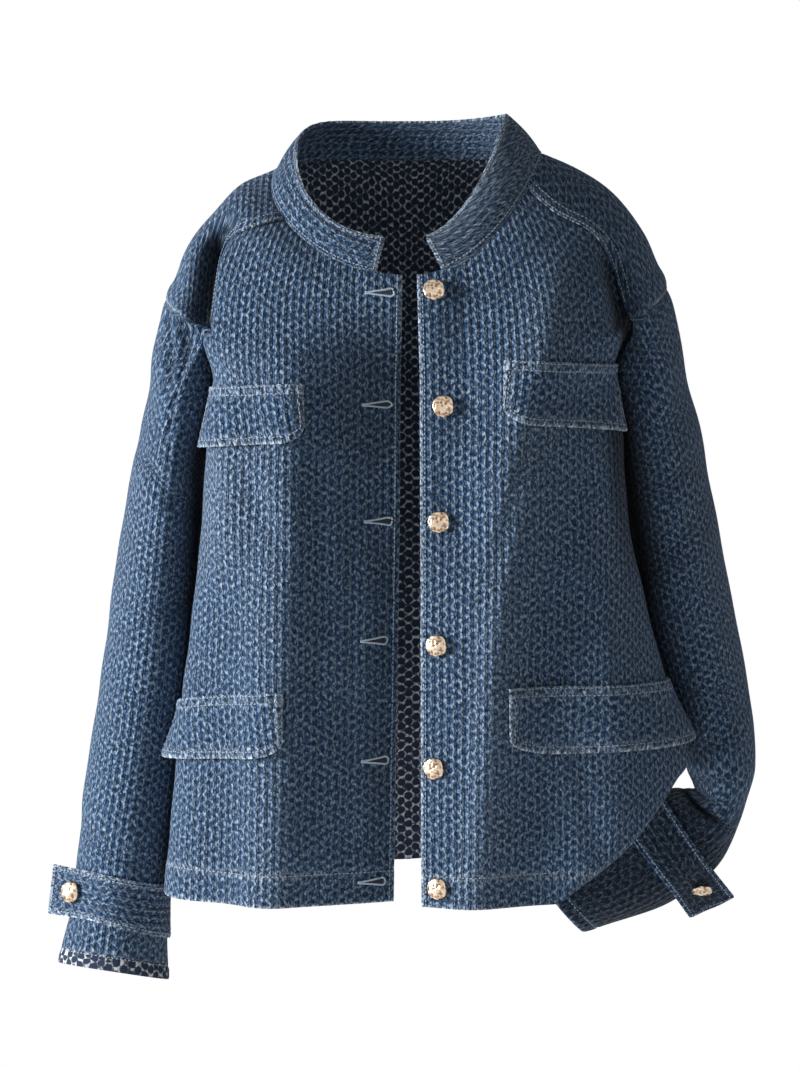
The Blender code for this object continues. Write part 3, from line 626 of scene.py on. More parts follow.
lift = (lift + ripple(*np.moveaxis(grid, -1, 0))) * ease(inner / SEAM_CALM) * ease(down / SEAM_CALM)
lift = lift * ease(sleeve_seam / SEAM_CALM) + hem_lift(across, to_hem) + groove(down, *SEAM_GROOVE)
laps = ease((YOKE_LAP_WIDTH - inner) / 0.003) * ease(sleeve_seam / 0.008) * ease(down / 0.008)
laps[ROWS_SHOULDER:] = 0.0
lift += YOKE_LAP * laps
lift[ROWS_SHOULDER:] += groove(inner, *SEAM_GROOVE)[ROWS_SHOULDER:]
seamed = grid.copy()
grid = grid + grid_normal(grid, -1) * lift[..., None]
for column, yoke in zip((COLUMNS_YOKE, -COLUMNS_YOKE - 1), yokes):
    grid[ARM_ROWS, column] = seamed[ARM_ROWS, column]
    grid[ROWS_SHOULDER - 1, yoke] = seamed[ROWS_SHOULDER - 1, yoke]
for edge_column, next_column in ((0, 1), (-1, -2)):
    ahead = unit(grid[:, edge_column] - grid[:, next_column])
    ahead = YOKE_LAP_AHEAD * laps[:, edge_column, None] * ahead
    grid[:ROWS_SHOULDER, edge_column] += ahead[:ROWS_SHOULDER]
# The grain runs straight up the back and bends over the top of the shoulder towards the front
axis_z = -0.11 - 0.35 * np.abs(grid[..., 0])
bend = np.arctan2(grid[..., 2] - axis_z, grid[..., 1])
up = np.where(grid[..., 2] > axis_z, axis_z + SHOULDER_ROUND * bend, grid[..., 2])
slope = 1 + 0.22 * ease((grid[..., 2] + 0.22) / 0.08)
grain = np.stack([grid[..., 0] * slope - both_halves(half_tucks), up], axis=-1)
wear_and_shade = hem_wear(to_hem)
wear_and_shade += band(inner, 0.0016, 0.45) + band(sleeve_seam, 0.0022, 0.6) * ease(inner / 0.018)
# Painted shade: darker in the fold before the arm, on the back's side of it
wear_and_shade -= both_halves(half_sinks) ** 0.8
back = sew_sheet("back", grid, grain, wear_and_shade, (denim, reverse), keep=keep)

# The stand collar: a narrow band of doubled cloth sewn round the neck, a little open at the throat, with
# its cut ends rounded and stitched all round. Its cloth is turned, so the woven columns run along it.
COLLAR_TOP = dict(zip(LOOP_COLUMNS, (0.0, -57, 10, 40, 35, 90, 76, -71, 2, 54, 95, 0)))
COLLAR_TOP_ROUND = {RIGHT: 0.70, LEFT: SECTION_ROUND}
COLLAR_END_X = {RIGHT: (26.0, 12.0), LEFT: (24.0, 10.0)}
COLLAR_BULGE = 0.002
COLLAR_WALL = 0.0022
COLLAR_CORNER = 0.0025
COLLAR_CORNER_FROM = 0.72
COLLAR_STITCH = 0.003
COLLAR_FOOT_STITCH = 0.0045
COLLAR_PAINTED_LIGHT = 0.14
collar_rows = np.concatenate([[-0.09], crowd(17, 0.7)])
collar_columns = np.linspace(0, 1, 90)
collar_grid = []
for share in collar_rows:
    line = {}
    for side in (RIGHT, LEFT):
        low_x, top_x = np.array(COLLAR_END_X[side]) * MM
        corner = max(0.0, (share - COLLAR_CORNER_FROM) / (1 - COLLAR_CORNER_FROM))
        x = low_x + (top_x - low_x) * share + COLLAR_CORNER * corner ** 2.4
        half = (1 - share) * loop_value("half_" + SIDE_NAMES[side], 0.0)
        half += share * COLLAR_TOP["half_" + SIDE_NAMES[side]] * MM
        start = math.asin((x / half) ** (1 / SECTION_ROUND))
        theta = start + (math.pi - start) * collar_columns ** 1.15
        low = loop_point(side, theta, lambda column: loop_value(column, np.zeros(theta.shape)))
        top = loop_point(side, theta, lambda column: np.full(theta.shape, COLLAR_TOP[column] * MM),
                         COLLAR_TOP_ROUND[side])
        point = low + (top - low) * share
        away = np.stack([side * np.sin(theta), -np.cos(theta), np.full(theta.shape, 0.35)], axis=-1)
        line[side] = point + away * COLLAR_BULGE * math.sin(math.pi * max(share, 0.0))
    collar_grid.append(np.concatenate([line[RIGHT], line[LEFT][-2::-1]]))
collar_grid = np.array(collar_grid)
along = travelled(collar_grid, 1)
up = travelled(collar_grid, 0)
to_end = np.minimum(along, along[:, -1:] - along)
to_top = up[-1:] - up
edge = np.minimum(to_end, to_top)
lift = groove(edge - COLLAR_STITCH, 0.0012, 0.0005) + pucker(along, edge, COLLAR_STITCH)
lift += groove(edge, 0.0009, 0.0007)
lift += groove(up, 0.0015, 0.0006) + 0.5 * ripple(*np.moveaxis(collar_grid, -1, 0)) * ease(up / 0.01)
collar_grid = collar_grid + grid_normal(collar_grid, 1) * lift[..., None]
grain = np.stack([up, along], axis=-1)
wear_and_shade = band(edge, 0.0018, 1.0) + band(edge - COLLAR_STITCH, 0.002, 0.3)
# Painted light: the collar's left half, away from the key light, is made paler. Then all of it, rubbed edges
# too, is weakened towards the back of the collar.
wear_and_shade += band(up, 0.0016, 0.5) + COLLAR_PAINTED_LIGHT * ease(collar_grid[..., 0] / 0.04)
wear_and_shade = wear_and_shade * (0.25 + 0.75 * ease((0.03 - collar_grid[..., 1]) / 0.06))
collar = sew_sheet("collar", collar_grid, grain, wear_and_shade, (denim, denim), wall=COLLAR_WALL, flip=True)

# The sleeves: dropped, cut in one piece each and sewn to the armhole; the right one hangs, the left one
# is bent so that its wrist lies below the hitched hem. Both ends are turned in and stitched.
SLEEVE_COLUMNS = ("out_x", "out_z", "in_x", "in_z", "mid_y", "half_y", "front_up")
SLEEVES = {
    RIGHT: (
        (-194, -107, -161, -232, 5, 55, 0),
        (-201, -136, -164, -241, 12, 66, 0),
        (-209, -172, -166, -252, 16, 71, 0),
        (-217, -212, -164, -266, 20, 72, 0),
        (-225, -252, -164, -286, 22, 71, 0),
        (-237, -324, -165, -335, 24, 67, 0),
        (-249, -404, -170, -406, 22, 61, 0),
        (-261, -490, -180, -492, 16, 54, 0),
        (-268, -550, -193, -556, 8, 48, 2),
        (-272, -592, -196, -602, 2, 45, 5),
        (-283, -641, -195, -655, -5, 42, 8),
    ),
    LEFT: (
        (204, -99, 168, -232, 5, 55, 0),
        (212, -124, 168, -241, 12, 64, 0),
        (220, -158, 167, -252, 16, 69, 0),
        (230, -198, 168, -268, 20, 70, 0),
        (240, -246, 170, -290, 22, 69, 0),
        (254, -320, 176, -336, 24, 65, 0),
        (269, -392, 195, -400, 22, 59, 0),
        (278, -450, 218, -454, 16, 53, 0),
        (279, -482, 224, -486, 12, 49, 0),
        (271, -514, 229, -504, 10, 45, 0),
        (259, -546, 219, -502, 8, 42, 0),
        (246, -566, 203, -503, 6, 40, 0),
        (214, -590, 166, -528, 2, 39, 0),
        (180, -604, 132, -550, 0, 39, 0),
        (140, -616, 97, -564, -2, 39, 0),
    ),
}
SLEEVE_BODY_CLEAR = 0.004
SLEEVE_TURN = 0.011
SLEEVE_END_TURNED = {RIGHT: True, LEFT: False}
SLEEVE_MOUTH = {RIGHT: 0.0, LEFT: 0.007}
SLEEVE_SHADED = {RIGHT: 0.0, LEFT: 0.85}
SLEEVE_HEAD = 0.0022
UNDERARM_SHADE = {RIGHT: 0.7, LEFT: 1.2}
UNDERARM_DEG = 145
UNDERARM_HALF_DEG = 30
UNDERARM_Z = -0.236
CREASE_SHADE = 75
SIDE_HEM_Z = {RIGHT: -578, LEFT: -476}
ROWS_SLEEVE = 190
# Folds across the sleeves: row, angle from the outside over the front, half sizes, height in mm, slant
SLEEVE_FOLD_COLUMNS = ("side", "row", "angle", "half_row", "half_angle", "height", "slant")
SLEEVE_FOLDS = (
    (RIGHT, 2.2, 40, 0.5, 45, -4, 0.0),
    (RIGHT, 6.6, 110, 0.6, 40, -5, 0.0),
    (RIGHT, 7.3, 60, 0.4, 50, 4, 0.0),
    (RIGHT, 6.2, 270, 0.7, 50, -5, 0.0),
    (LEFT, 2.4, 50, 0.5, 45, -4, 0.0),
    (LEFT, 6.4, 60, 0.5, 45, -4, 0.0),
    (LEFT, 9.0, 150, 0.6, 40, -5, 0.0),
    (LEFT, 5.8, 270, 0.7, 50, -5, 0.0),
)
SLEEVE_CREASES = (
    (RIGHT, 3.4, 70, 0.16, 40, -2.2, 0.5),
    (RIGHT, 3.9, 60, 0.18, 45, 2.0, 0.5),
    (RIGHT, 5.4, 95, 0.16, 45, -2.2, -0.5),
    (RIGHT, 7.9, 80, 0.16, 55, -2.4, 0.4),
    (RIGHT, 5.8, 250, 0.2, 50, -2.5, 0.5),
    (LEFT, 3.6, 70, 0.18, 40, -2.2, -0.5),
    (LEFT, 4.6, 90, 0.2, 50, -2.2, 0.5),
    (LEFT, 7.2, 110, 0.2, 55, -2.6, 0.6),
    (LEFT, 8.2, 130, 0.2, 50, -2.6, 0.4),
    (LEFT, 9.8, 120, 0.2, 60, -2.4, 0.2),
    (LEFT, 5.2, 260, 0.2, 50, -2.5, -0.5),
    (LEFT, 9.7, 125, 0.16, 50, -6.0, 0.15),
)
# Pleats down from the right sleeve's head: angle at the seam, turn a row, last row, half angle, height
PLEAT_COLUMNS = ("angle", "turn", "last_row", "half_angle", "height")
SLEEVE_PLEATS = {RIGHT: ((25, 20, 2.2, 5, -4.5), (44, 17, 2.8, 6, -4.5)), LEFT: ()}


def sleeve_value(side, column, row):
    index = SLEEVE_COLUMNS.index(column)
    table = SLEEVES[side]
    return smooth_curve(range(len(table)), [entry[index] for entry in table], row) * MM


def sleeve_ring(side, row, psi):
    """A plain ring of the sleeve: angle 0 is its outer point, 90 degrees its front, 180 its inner point."""
    row, psi = np.broadcast_arrays(np.asarray(row, float), np.asarray(psi, float))
    share = (1 + np.cos(psi)) / 2
    x = sleeve_value(side, "in_x", row) * (1 - share) + sleeve_value(side, "out_x", row) * share
    z = sleeve_value(side, "in_z", row) * (1 - share) + sleeve_value(side, "out_z", row) * share
    y = sleeve_value(side, "mid_y", row) - sleeve_value(side, "half_y", row) * np.sin(psi)
    return np.stack([x, y, z + sleeve_value(side, "front_up", row) * np.sin(psi)], axis=-1)


def body_wall(side, y, z):
    """How far out the body's side stands at a depth and a height below the underarm."""
    t = np.clip(np.interp(-z, [-row[2] * MM for row in LOOPS[7:]], [row[0] for row in LOOPS[7:]]), 5, 8)
    y_side = loop_value("y_side", t)
    reach = np.where(y > y_side, loop_value("y_back", t) - y_side, y_side - loop_value("y_front", t))
    share = np.clip(np.abs(y - y_side) / reach, 0.0, 1.0) ** (2 / SECTION_ROUND)
    return loop_value("half_" + SIDE_NAMES[side], t) * (1 - share) ** (SECTION_ROUND / 2)


def sleeve_swell(rows, side, row, psi):
    lift = np.zeros(np.shape(row))
    for entry in rows:
        fold = dict(zip(SLEEVE_FOLD_COLUMNS, entry))
        if fold["side"] == side:
            turn = (np.degrees(psi) - fold["angle"] + 180) % 360 - 180
            place = row - fold["row"] - fold["slant"] * turn / 90
            swell = np.exp(-(place / fold["half_row"]) ** 2 - (turn / fold["half_angle"]) ** 2)
            lift += fold["height"] * MM * swell
    return lift * ease(row / 0.5)


def pleat_swell(side, row, psi):
    lift = np.zeros(np.shape(row))
    for entry in SLEEVE_PLEATS[side]:
        pleat = dict(zip(PLEAT_COLUMNS, entry))
        off = np.degrees(psi) - pleat["angle"] - pleat["turn"] * row
        reach = ease(row / 0.2) * ease(pleat["last_row"] - row)
        lift += pleat["height"] * MM * np.exp(-(off / pleat["half_angle"]) ** 2) * reach
    return lift


def sleeve_point(side, row, psi, armhole=None):
    """The sleeve's outer face. Near the armhole it takes the seam's own line."""
    point = sleeve_ring(side, row, psi)
    row, psi = np.broadcast_arrays(np.asarray(row, float), np.asarray(psi, float))
    if armhole is not None:
        offset = armhole - sleeve_ring(side, 0.0, psi[0])
        point = point + offset[None] * (1 - ease(row / 2.6))[..., None]
    out = np.stack([side * np.cos(psi), -np.sin(psi), np.zeros(psi.shape)], axis=-1)
    point = point + out * sleeve_swell(SLEEVE_FOLDS, side, row, psi)[..., None]
    limit = body_wall(side, point[..., 1], point[..., 2]) + SLEEVE_BODY_CLEAR
    z = point[..., 2]
    beside = (z < UNDERARM_Z) & (z > SIDE_HEM_Z[side] * MM - SLEEVE_BODY_CLEAR) & (row > 0.2)
    near = beside & (side * point[..., 0] < limit)
    point[..., 0] = np.where(near, side * limit, point[..., 0])
    return point


for side in (RIGHT, LEFT):
    fore = np.concatenate([armhole_yoke[side][::-1], armhole_front[side][1:]])
    aft = armhole_back[side][-2:0:-1]
    armhole = np.concatenate([fore, aft, fore[:1]])
    round_seam = travelled(armhole, 0)
    turn = len(fore) - 1
    psi = np.interp(round_seam, [0.0, round_seam[turn], round_seam[-1]], [0.0, math.pi, 2 * math.pi])
    last = len(SLEEVES[side]) - 1
    rows = last * crowd(ROWS_SLEEVE, 0.35) ** 1.1
    row = np.repeat(rows[:, None], len(psi), axis=1)
    angle = np.repeat(psi[None], ROWS_SLEEVE, axis=0)
    grid = sleeve_point(side, row, angle, armhole)
    outward = unit(grid[-1].mean(axis=0) - grid[-12].mean(axis=0))
    behind = np.clip(-np.sin(angle), 0.0, 1.0) * ease((row - last + 1.0) / 1.0)
    grid = grid + SLEEVE_MOUTH[side] * behind[..., None] * outward
    slack = 0.5 * (1 - ease((row - 2.0) / 2.0))[1:-1, :-1, None]
    for _ in range(30):
        ring = grid[1:-1, :-1]
        eased = np.roll(ring, 1, axis=1) + np.roll(ring, -1, axis=1) + grid[:-2, :-1] + grid[2:, :-1]
        grid[1:-1, :-1] = ring + slack * (eased / 4 - ring)
        grid[:, -1] = grid[:, 0]
    down = travelled(grid, 0)
    around = travelled(grid, 1)
    to_end = down[-1:] - down
    creased = sleeve_swell(SLEEVE_CREASES, side, row, angle) + pleat_swell(side, row, angle)
    lift = creased + ripple(*np.moveaxis(grid, -1, 0)) * ease(down / SEAM_CALM)
    lift += groove(down - 0.002, 0.003, 0.0006)
    lift += SLEEVE_HEAD * ease(down / 0.003) * (1 - ease((row - 1.2) / 1.6)) * ease(np.cos(angle) + 0.6)
    lift += groove(to_end - SLEEVE_TURN, 0.0014, 0.0006) + pucker(around, to_end, SLEEVE_TURN)
    lift += groove(to_end, *CUT_ROUND) + TURN_STEP * ease((SLEEVE_TURN - to_end) / TURN_BLEND)
    lift[0] = 0.0
    normal = -side * grid_normal(grid, 1)
    grid = grid + normal * lift[..., None]
    grid[:, -1] = grid[:, 0]
    middle = grid[:, :-1].mean(axis=1)
    way = unit(np.gradient(middle, axis=0))
    reached = travelled(middle, 0)
    reached = reached[:, None] + ((grid - middle[:, None]) * way[:, None]).sum(axis=-1)
    reached = reached + (reached[:1] + down - reached) * (1 - ease(down / 0.03))
    steps = np.diff(grid, axis=1)
    steps = steps - (steps * way[:, None]).sum(axis=-1, keepdims=True) * way[:, None]
    over = np.cumsum(np.linalg.norm(steps, axis=-1), axis=1)
    over = np.concatenate([np.zeros((len(grid), 1)), over], axis=1)
    front_line = int(np.argmin(np.abs(psi - math.pi / 2)))
    grain = np.stack([over - over[:, front_line:front_line + 1], -reached], axis=-1)
    wear_and_shade = band(to_end, 0.0018, 0.9) + band(to_end - SLEEVE_TURN, 0.002, 0.4)
    from_top = np.degrees(np.minimum(angle, 2 * math.pi - angle))
    wear_and_shade += band(down, 0.0022, 0.3) * ease((60 - from_top) / 25)
    # Painted shade: the left forearm darkened as under the body's shadow, the creases darker in their
    # troughs and the inner face darker below the underarm.
    wear_and_shade -= SLEEVE_SHADED[side] * ease((row - 8.6) / 2.0)
    wear_and_shade += CREASE_SHADE * np.minimum(creased, 0.0)
    below = band(np.degrees(angle) - UNDERARM_DEG, UNDERARM_HALF_DEG, UNDERARM_SHADE[side])
    wear_and_shade -= below * (1 - ease((row - 4.5) / 2.5))
    turned = int((to_end.mean(axis=1) < SLEEVE_TURN).sum()) if SLEEVE_END_TURNED[side] else 0
    name = "sleeve_" + SIDE_NAMES[side]
    sleeve = sew_sheet(name, grid, grain, wear_and_shade, (denim, reverse), closed=True, flip=side < 0,
                       turned_rows=turned)

# Cuff straps: narrow bands of doubled denim laid round the front of each wrist, their free ends buttoned
# down over the sleeve's outer edge and standing a little past it.
STRAP_WALL = 0.0020
STRAP_CLEAR = 0.0006
STRAP_STITCH = 0.0035
STRAP_RAY = 0.02
RAY_START = 0.012
STRAP_FLARE = 0.05
TILT_LIFT = 0.004
STRAPS = {
    RIGHT: {"rows": (8.25, 9.15), "skew": 0.22, "angles": (190.0, 62.0), "tab": 0.042, "button": 0.021,
            "end": 0.0, "tilt": None, "painted_shade": 0.0},
    LEFT: {"rows": (11.08, 11.92), "skew": 0.0, "angles": (190.0, 52.0), "tab": 0.047, "button": 0.019,
           "end": -0.013, "tilt": (0.0, -0.54, -0.84), "painted_shade": 0.78},
}


def strap_frame(side, row, psi):
    step = 1e-3
    point = sleeve_point(side, row, psi)
    around = sleeve_point(side, row, psi + step) - sleeve_point(side, row, psi - step)
    down = sleeve_point(side, row + step, psi) - sleeve_point(side, row - step, psi)
    return point, unit(side * np.cross(around, down)), unit(around)


cuff_button_seat = {}
for side in (RIGHT, LEFT):
    strap = STRAPS[side]
    sleeve_name = "sleeve_" + SIDE_NAMES[side]
    share = crowd(17, 0.6)
    rows = strap["rows"][0] + (strap["rows"][1] - strap["rows"][0]) * share
    psi = np.radians(np.linspace(strap["angles"][0], strap["angles"][1], 70))
    slant = strap["skew"] * (1 - np.cos(psi)) / 2
    point, normal, around = strap_frame(side, rows[:, None] + slant, np.repeat(psi[None], len(rows), axis=0))
    laid = point + normal * STRAP_CLEAR
    for index in np.ndindex(laid.shape[:2]):
        start = Vector(laid[index] + normal[index] * RAY_START)
        place = cloth[sleeve_name][1].ray_cast(start, -Vector(normal[index]), STRAP_RAY)[0]
        if place is not None:
            seat = np.array(place) + normal[index] * STRAP_CLEAR
            laid[index] += normal[index] * max(0.0, float(np.dot(seat - laid[index], normal[index])))
    leave = unit(-around[:, -1].mean(axis=0))
    middle = laid[:, -1].mean(axis=0)
    tab = []
    for length in strap["tab"] * (1 - (1 - np.linspace(0, 1, 31)[1:]) ** 1.3):
        flare = 1 + STRAP_FLARE * length / strap["tab"]
        reach = length + strap["end"] * (share - 0.5) * length / strap["tab"]
        tab.append(middle + (laid[:, -1] - middle) * flare + leave * reach[:, None])
    grid = np.concatenate([laid, np.stack(tab, axis=1)], axis=1)
    along = travelled(grid, 1)
    over = travelled(grid, 0)
    edge = np.minimum(np.minimum(over, over[-1:] - over), along[:, -1:] - along)
    lift = groove(edge - STRAP_STITCH, 0.0011, 0.0004) + pucker(along, edge, STRAP_STITCH)
    lift += groove(edge, 0.0009, 0.0006)
    grid = grid + grid_normal(grid, side) * lift[..., None]
    grain = np.stack([over, along], axis=-1)
    # Painted shade: each strap darkened all over by its given amount, the left one as under the body's
    # shadow
    wear_and_shade = band(edge, 0.0013, 0.9) + band(edge - STRAP_STITCH, 0.0016, 0.2) - strap["painted_shade"]
    name = "cuff_strap_" + SIDE_NAMES[side]
    piece = sew_sheet(name, grid, grain, wear_and_shade, (denim, denim), wall=STRAP_WALL, offset=1.0, flip=side > 0)
    face = unit(normal[:, -1].mean(axis=0))
    tilt = face if strap["tilt"] is None else np.array(strap["tilt"])
    seat = middle + leave * strap["button"] + face * STRAP_WALL + (face - tilt) * TILT_LIFT
    cuff_button_seat[side] = (seat, tilt)

# Pocket flaps: four flaps of doubled denim, each sewn down along its top with two rows and falling free
# below, a little flared towards the side where the body turns away.
FLAP_WALL = 0.0022
FLAP_CLEAR = 0.0012
FLAP_CORNER = 0.16
FLAP_STITCH = 0.0055
FLAP_TOP_STITCHES = (0.0015, 0.0075)
FLAP_GROOVE = (0.0013, 0.0005)
FRONT_RAY = 0.03
FLAP_COLUMNS = ("node", "side", "inner_x", "outer_deg", "inner_z", "outer_z", "drop_in", "drop_out", "flare")
FLAPS = (
    ("chest_flap_right", RIGHT, 84, 75, -170, -175, 44, 46, 8),
    ("chest_flap_left", LEFT, 73, 73, -152, -157, 47, 52, 7),
    ("hip_flap_right", RIGHT, 100, 94, -408, -424, 50, 45, 10),
    ("hip_flap_left", LEFT, 76, 92, -404, -406, 52, 48, 6),
)
for row in FLAPS:
    flap = dict(zip(FLAP_COLUMNS, row))
    side = flap["side"]
    front_name = "front_" + SIDE_NAMES[side]
    u = crowd(64)
    v = crowd(36, 0.6)
    top = (flap["inner_z"] + (flap["outer_z"] - flap["inner_z"]) * u) * MM
    drop = (flap["drop_in"] + (flap["drop_out"] - flap["drop_in"]) * u) * MM
    corner = np.clip(1 - u / FLAP_CORNER, 0.0, 1.0)
    drop = drop - 0.012 * (1 - np.sqrt(1 - corner ** 2))
    z = top[None, :] - drop[None, :] * v[:, None]
    theta = np.full(z.shape, 0.8)
    for _ in range(4):
        t = loop_at_height(side, theta, z)
        start = angle_at_x(side, t, flap["inner_x"] * MM)
        theta = start + (math.radians(flap["outer_deg"]) - start) * u
    t = loop_at_height(side, theta, z)
    rise = FLAP_CLEAR + flap["flare"] * MM * v[:, None] ** 1.4 * (0.18 + 0.82 * u[None, :] ** 2)
    normal = torso_normal(side, theta, t)
    grid = torso(side, theta, t)
    for index in np.ndindex(z.shape):
        start = Vector(grid[index] + normal[index] * RAY_START)
        place = cloth[front_name][1].ray_cast(start, -Vector(normal[index]), FRONT_RAY)[0]
        if place is not None:
            grid[index] = place
    grid = grid + normal * rise[..., None]
    along = travelled(grid, 1)
    down = travelled(grid, 0)
    edge = np.minimum(np.minimum(along, along[:, -1:] - along), down[-1:] - down)
    lift = groove(edge - FLAP_STITCH, *FLAP_GROOVE) + pucker(along + down, edge, FLAP_STITCH)
    lift += groove(down - FLAP_TOP_STITCHES[1], *FLAP_GROOVE)
    lift += groove(down - FLAP_TOP_STITCHES[0], *EDGE_GROOVE)
    lift += pucker(along, down, 0.0045, 0.004, 0.0008)
    lift += groove(np.minimum(edge, down), 0.0010, 0.0008) + 0.6 * ripple(*np.moveaxis(grid, -1, 0))
    grid = grid + grid_normal(grid, side) * lift[..., None]
    grain = np.stack([side * along, grid[..., 2]], axis=-1)
    wear_and_shade = band(edge, 0.0017, 1.0) + band(edge - FLAP_STITCH, 0.002, 0.25)
    wear_and_shade += band(down, 0.0015, 0.7) + band(down - 0.0055, 0.003, 0.2)
    name = flap["node"]
    piece = sew_sheet(name, grid, grain, wear_and_shade, (denim, denim), wall=FLAP_WALL, offset=1.0, flip=side > 0)
    width = float(along[:, -1].mean())
    length = float(down[-1].mean())

# Stitching: a pale blue cotton topstitch, one row along every turned edge and two along the seams over
# the shoulder and the tops of the flaps. Each stitch lies in the small groove that its thread draws.
STITCH_PITCH = 0.0034
STITCH_SIZE = (0.0029, 0.0010, 0.0007)
bpy.ops.object.select_all(action="DESELECT")
bpy.ops.mesh.primitive_ico_sphere_add(subdivisions=1, radius=0.5)
one_stitch = bpy.context.active_object
stitch_points = np.array([v.co for v in one_stitch.data.vertices])
stitch_faces = np.array([f.vertices for f in one_stitch.data.polygons])
bpy.data.objects.remove(one_stitch, do_unlink=True)


def thread_material(name, light, dark):
    """Twisted cotton sewing thread: matt, with the ply showing as fine light and dark along each stitch."""
    material, shader = blank_material(name)
    place = add(material, "TexCoord")
    ply = add(material, "TexNoise", {"Vector": place.outputs["Object"], "Scale": 700.0, "Detail": 2.0})
    colour = add(material, "Mix", {0: ply, 6: srgb(dark), 7: srgb(light)}, data_type="RGBA")
    plug(material, shader, {"Base Color": colour.outputs[2], "Roughness": 0.8, "Sheen Weight": 0.1})
    return material


thread = thread_material("pale blue cotton thread", "#bccbdc", "#7f98b6")


def spaced(points, pitch):
    """Points at an even pitch along a line."""
    far = travelled(points, 0)
    at = np.arange(pitch / 2, far[-1], pitch)
    return np.stack([np.interp(at, far, points[:, i]) for i in range(3)], axis=-1)


def lay_stitches(tree, line, pitch=STITCH_PITCH, crosswise=False):
    """Places, directions and facing of stitches along a line, laid on a piece's own face."""
    points = spaced(np.asarray(line), pitch)
    if len(points) < 3:
        return []
    ahead = np.gradient(points, axis=0)
    laid = []
    for point, way in zip(points, ahead):
        place, face, _, _ = tree.find_nearest(Vector(point))
        face = np.array(face)
        way = unit(way - face * np.dot(way, face))
        if crosswise:
            way = np.cross(face, way)
        laid.append((np.array(place), way, face))
    return laid


def sew_stitches(name, laid, material, size=STITCH_SIZE):
    """One piece with every stitch of a group, each a small rounded bar along its thread."""
    places, ways, faces = (np.array(part) for part in zip(*laid))
    over = np.cross(faces, ways)
    points = (places + faces * size[2] * 0.22)[:, None]
    for axis, length, way in zip(range(3), size, (ways, over, faces)):
        points = points + stitch_points[None, :, axis:axis + 1] * length * way[:, None]
    corners = stitch_faces[None] + (np.arange(len(places)) * len(stitch_points))[:, None, None]
    mesh = bpy.data.meshes.new(name)
    mesh.from_pydata(points.reshape(-1, 3).tolist(), [], corners.reshape(-1, 3).tolist())
    mesh.materials.append(material)
    mesh.polygons.foreach_set("use_smooth", np.ones(len(mesh.polygons), bool))
    mesh.update()
    piece = bpy.data.objects.new(name, mesh)
    bpy.context.scene.collection.objects.link(piece)
    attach(piece, "root")
    return piece


def inside_line(grid, axis, from_start, distance):
    """A line on a grid at a distance from its first or last row or column."""
    far = travelled(grid, axis)
    if not from_start:
        far = np.take(far, [-1], axis) - far
    lines = np.moveaxis(grid, axis, 0)
    far = np.moveaxis(far, axis, 0)
    if not from_start:
        lines, far = lines[::-1], far[::-1]
    found = []
    for column in range(lines.shape[1]):
        found.append([np.interp(distance, far[:, column], lines[:, column, i]) for i in range(3)])
    return np.array(found)


def hem_line(grid):
    """The level line of a front's hem stitches, up to where the cloth is folded under."""
    line = inside_line(grid, 0, False, HEM_TURN)
    return line[np.abs(line[:, 2] - HEM_LEVEL - HEM_TURN) < 0.004]


for side in (RIGHT, LEFT):
    grid, tree = cloth["front_" + SIDE_NAMES[side]]
    laid = lay_stitches(tree, hem_line(grid))
    laid += lay_stitches(tree, inside_line(grid, 1, True, EDGE_STITCH))
    sew_stitches("stitching_front_" + SIDE_NAMES[side], laid, thread)
    grid, tree = cloth["sleeve_" + SIDE_NAMES[side]]
    laid = lay_stitches(tree, inside_line(grid, 0, False, SLEEVE_TURN))
    sew_stitches("stitching_sleeve_" + SIDE_NAMES[side], laid, thread)
    grid, tree = cloth["cuff_strap_" + SIDE_NAMES[side]]
    grid = grid + grid_normal(grid, side) * STRAP_WALL
    laid = []
    for start in (True, False):
        laid += lay_stitches(tree, inside_line(grid, 0, start, STRAP_STITCH))
    laid += lay_stitches(tree, inside_line(grid, 1, False, STRAP_STITCH)[2:-2])
    sew_stitches("stitching_strap_" + SIDE_NAMES[side], laid, thread)
grid, tree = cloth["back"]
low = ROWS_SHOULDER - 1
hem_columns = slice(COLUMNS_YOKE, grid.shape[1] - COLUMNS_YOKE)
laid = lay_stitches(tree, inside_line(grid[low:, hem_columns], 0, False, HEM_TURN))
for half in (grid[:low + 1, :COLUMNS_YOKE + 8], grid[:low + 1, ::-1][:, :COLUMNS_YOKE + 8]):
    for distance in YOKE_STITCHES:
        laid += lay_stitches(tree, inside_line(half[:-4], 1, True, distance))
    laid += lay_stitches(tree, inside_line(half[:, :COLUMNS_YOKE + 1], 0, False, YOKE_STITCHES[0])[7:])
sew_stitches("stitching_back", laid, thread)
grid, tree = cloth["collar"]
laid = lay_stitches(tree, inside_line(grid, 0, False, COLLAR_STITCH)[2:-2])
laid += lay_stitches(tree, inside_line(grid, 0, True, COLLAR_FOOT_STITCH)[3:-3])
for start in (True, False):
    laid += lay_stitches(tree, inside_line(grid, 1, start, COLLAR_STITCH)[2:-3])
sew_stitches("stitching_collar", laid, thread)
for row in FLAPS:
    flap = dict(zip(FLAP_COLUMNS, row))
    name = flap["node"]
    grid, tree = cloth[name]
    grid = grid + grid_normal(grid, flap["side"]) * FLAP_WALL
    laid = []
    for distance in FLAP_TOP_STITCHES:
        laid += lay_stitches(tree, inside_line(grid, 0, True, distance))
    laid += lay_stitches(tree, inside_line(grid, 0, False, FLAP_STITCH)[3:-3])
    for start in (True, False):
        laid += lay_stitches(tree, inside_line(grid, 1, start, FLAP_STITCH)[3:-4])
    sew_stitches("stitching_" + name, laid, thread)

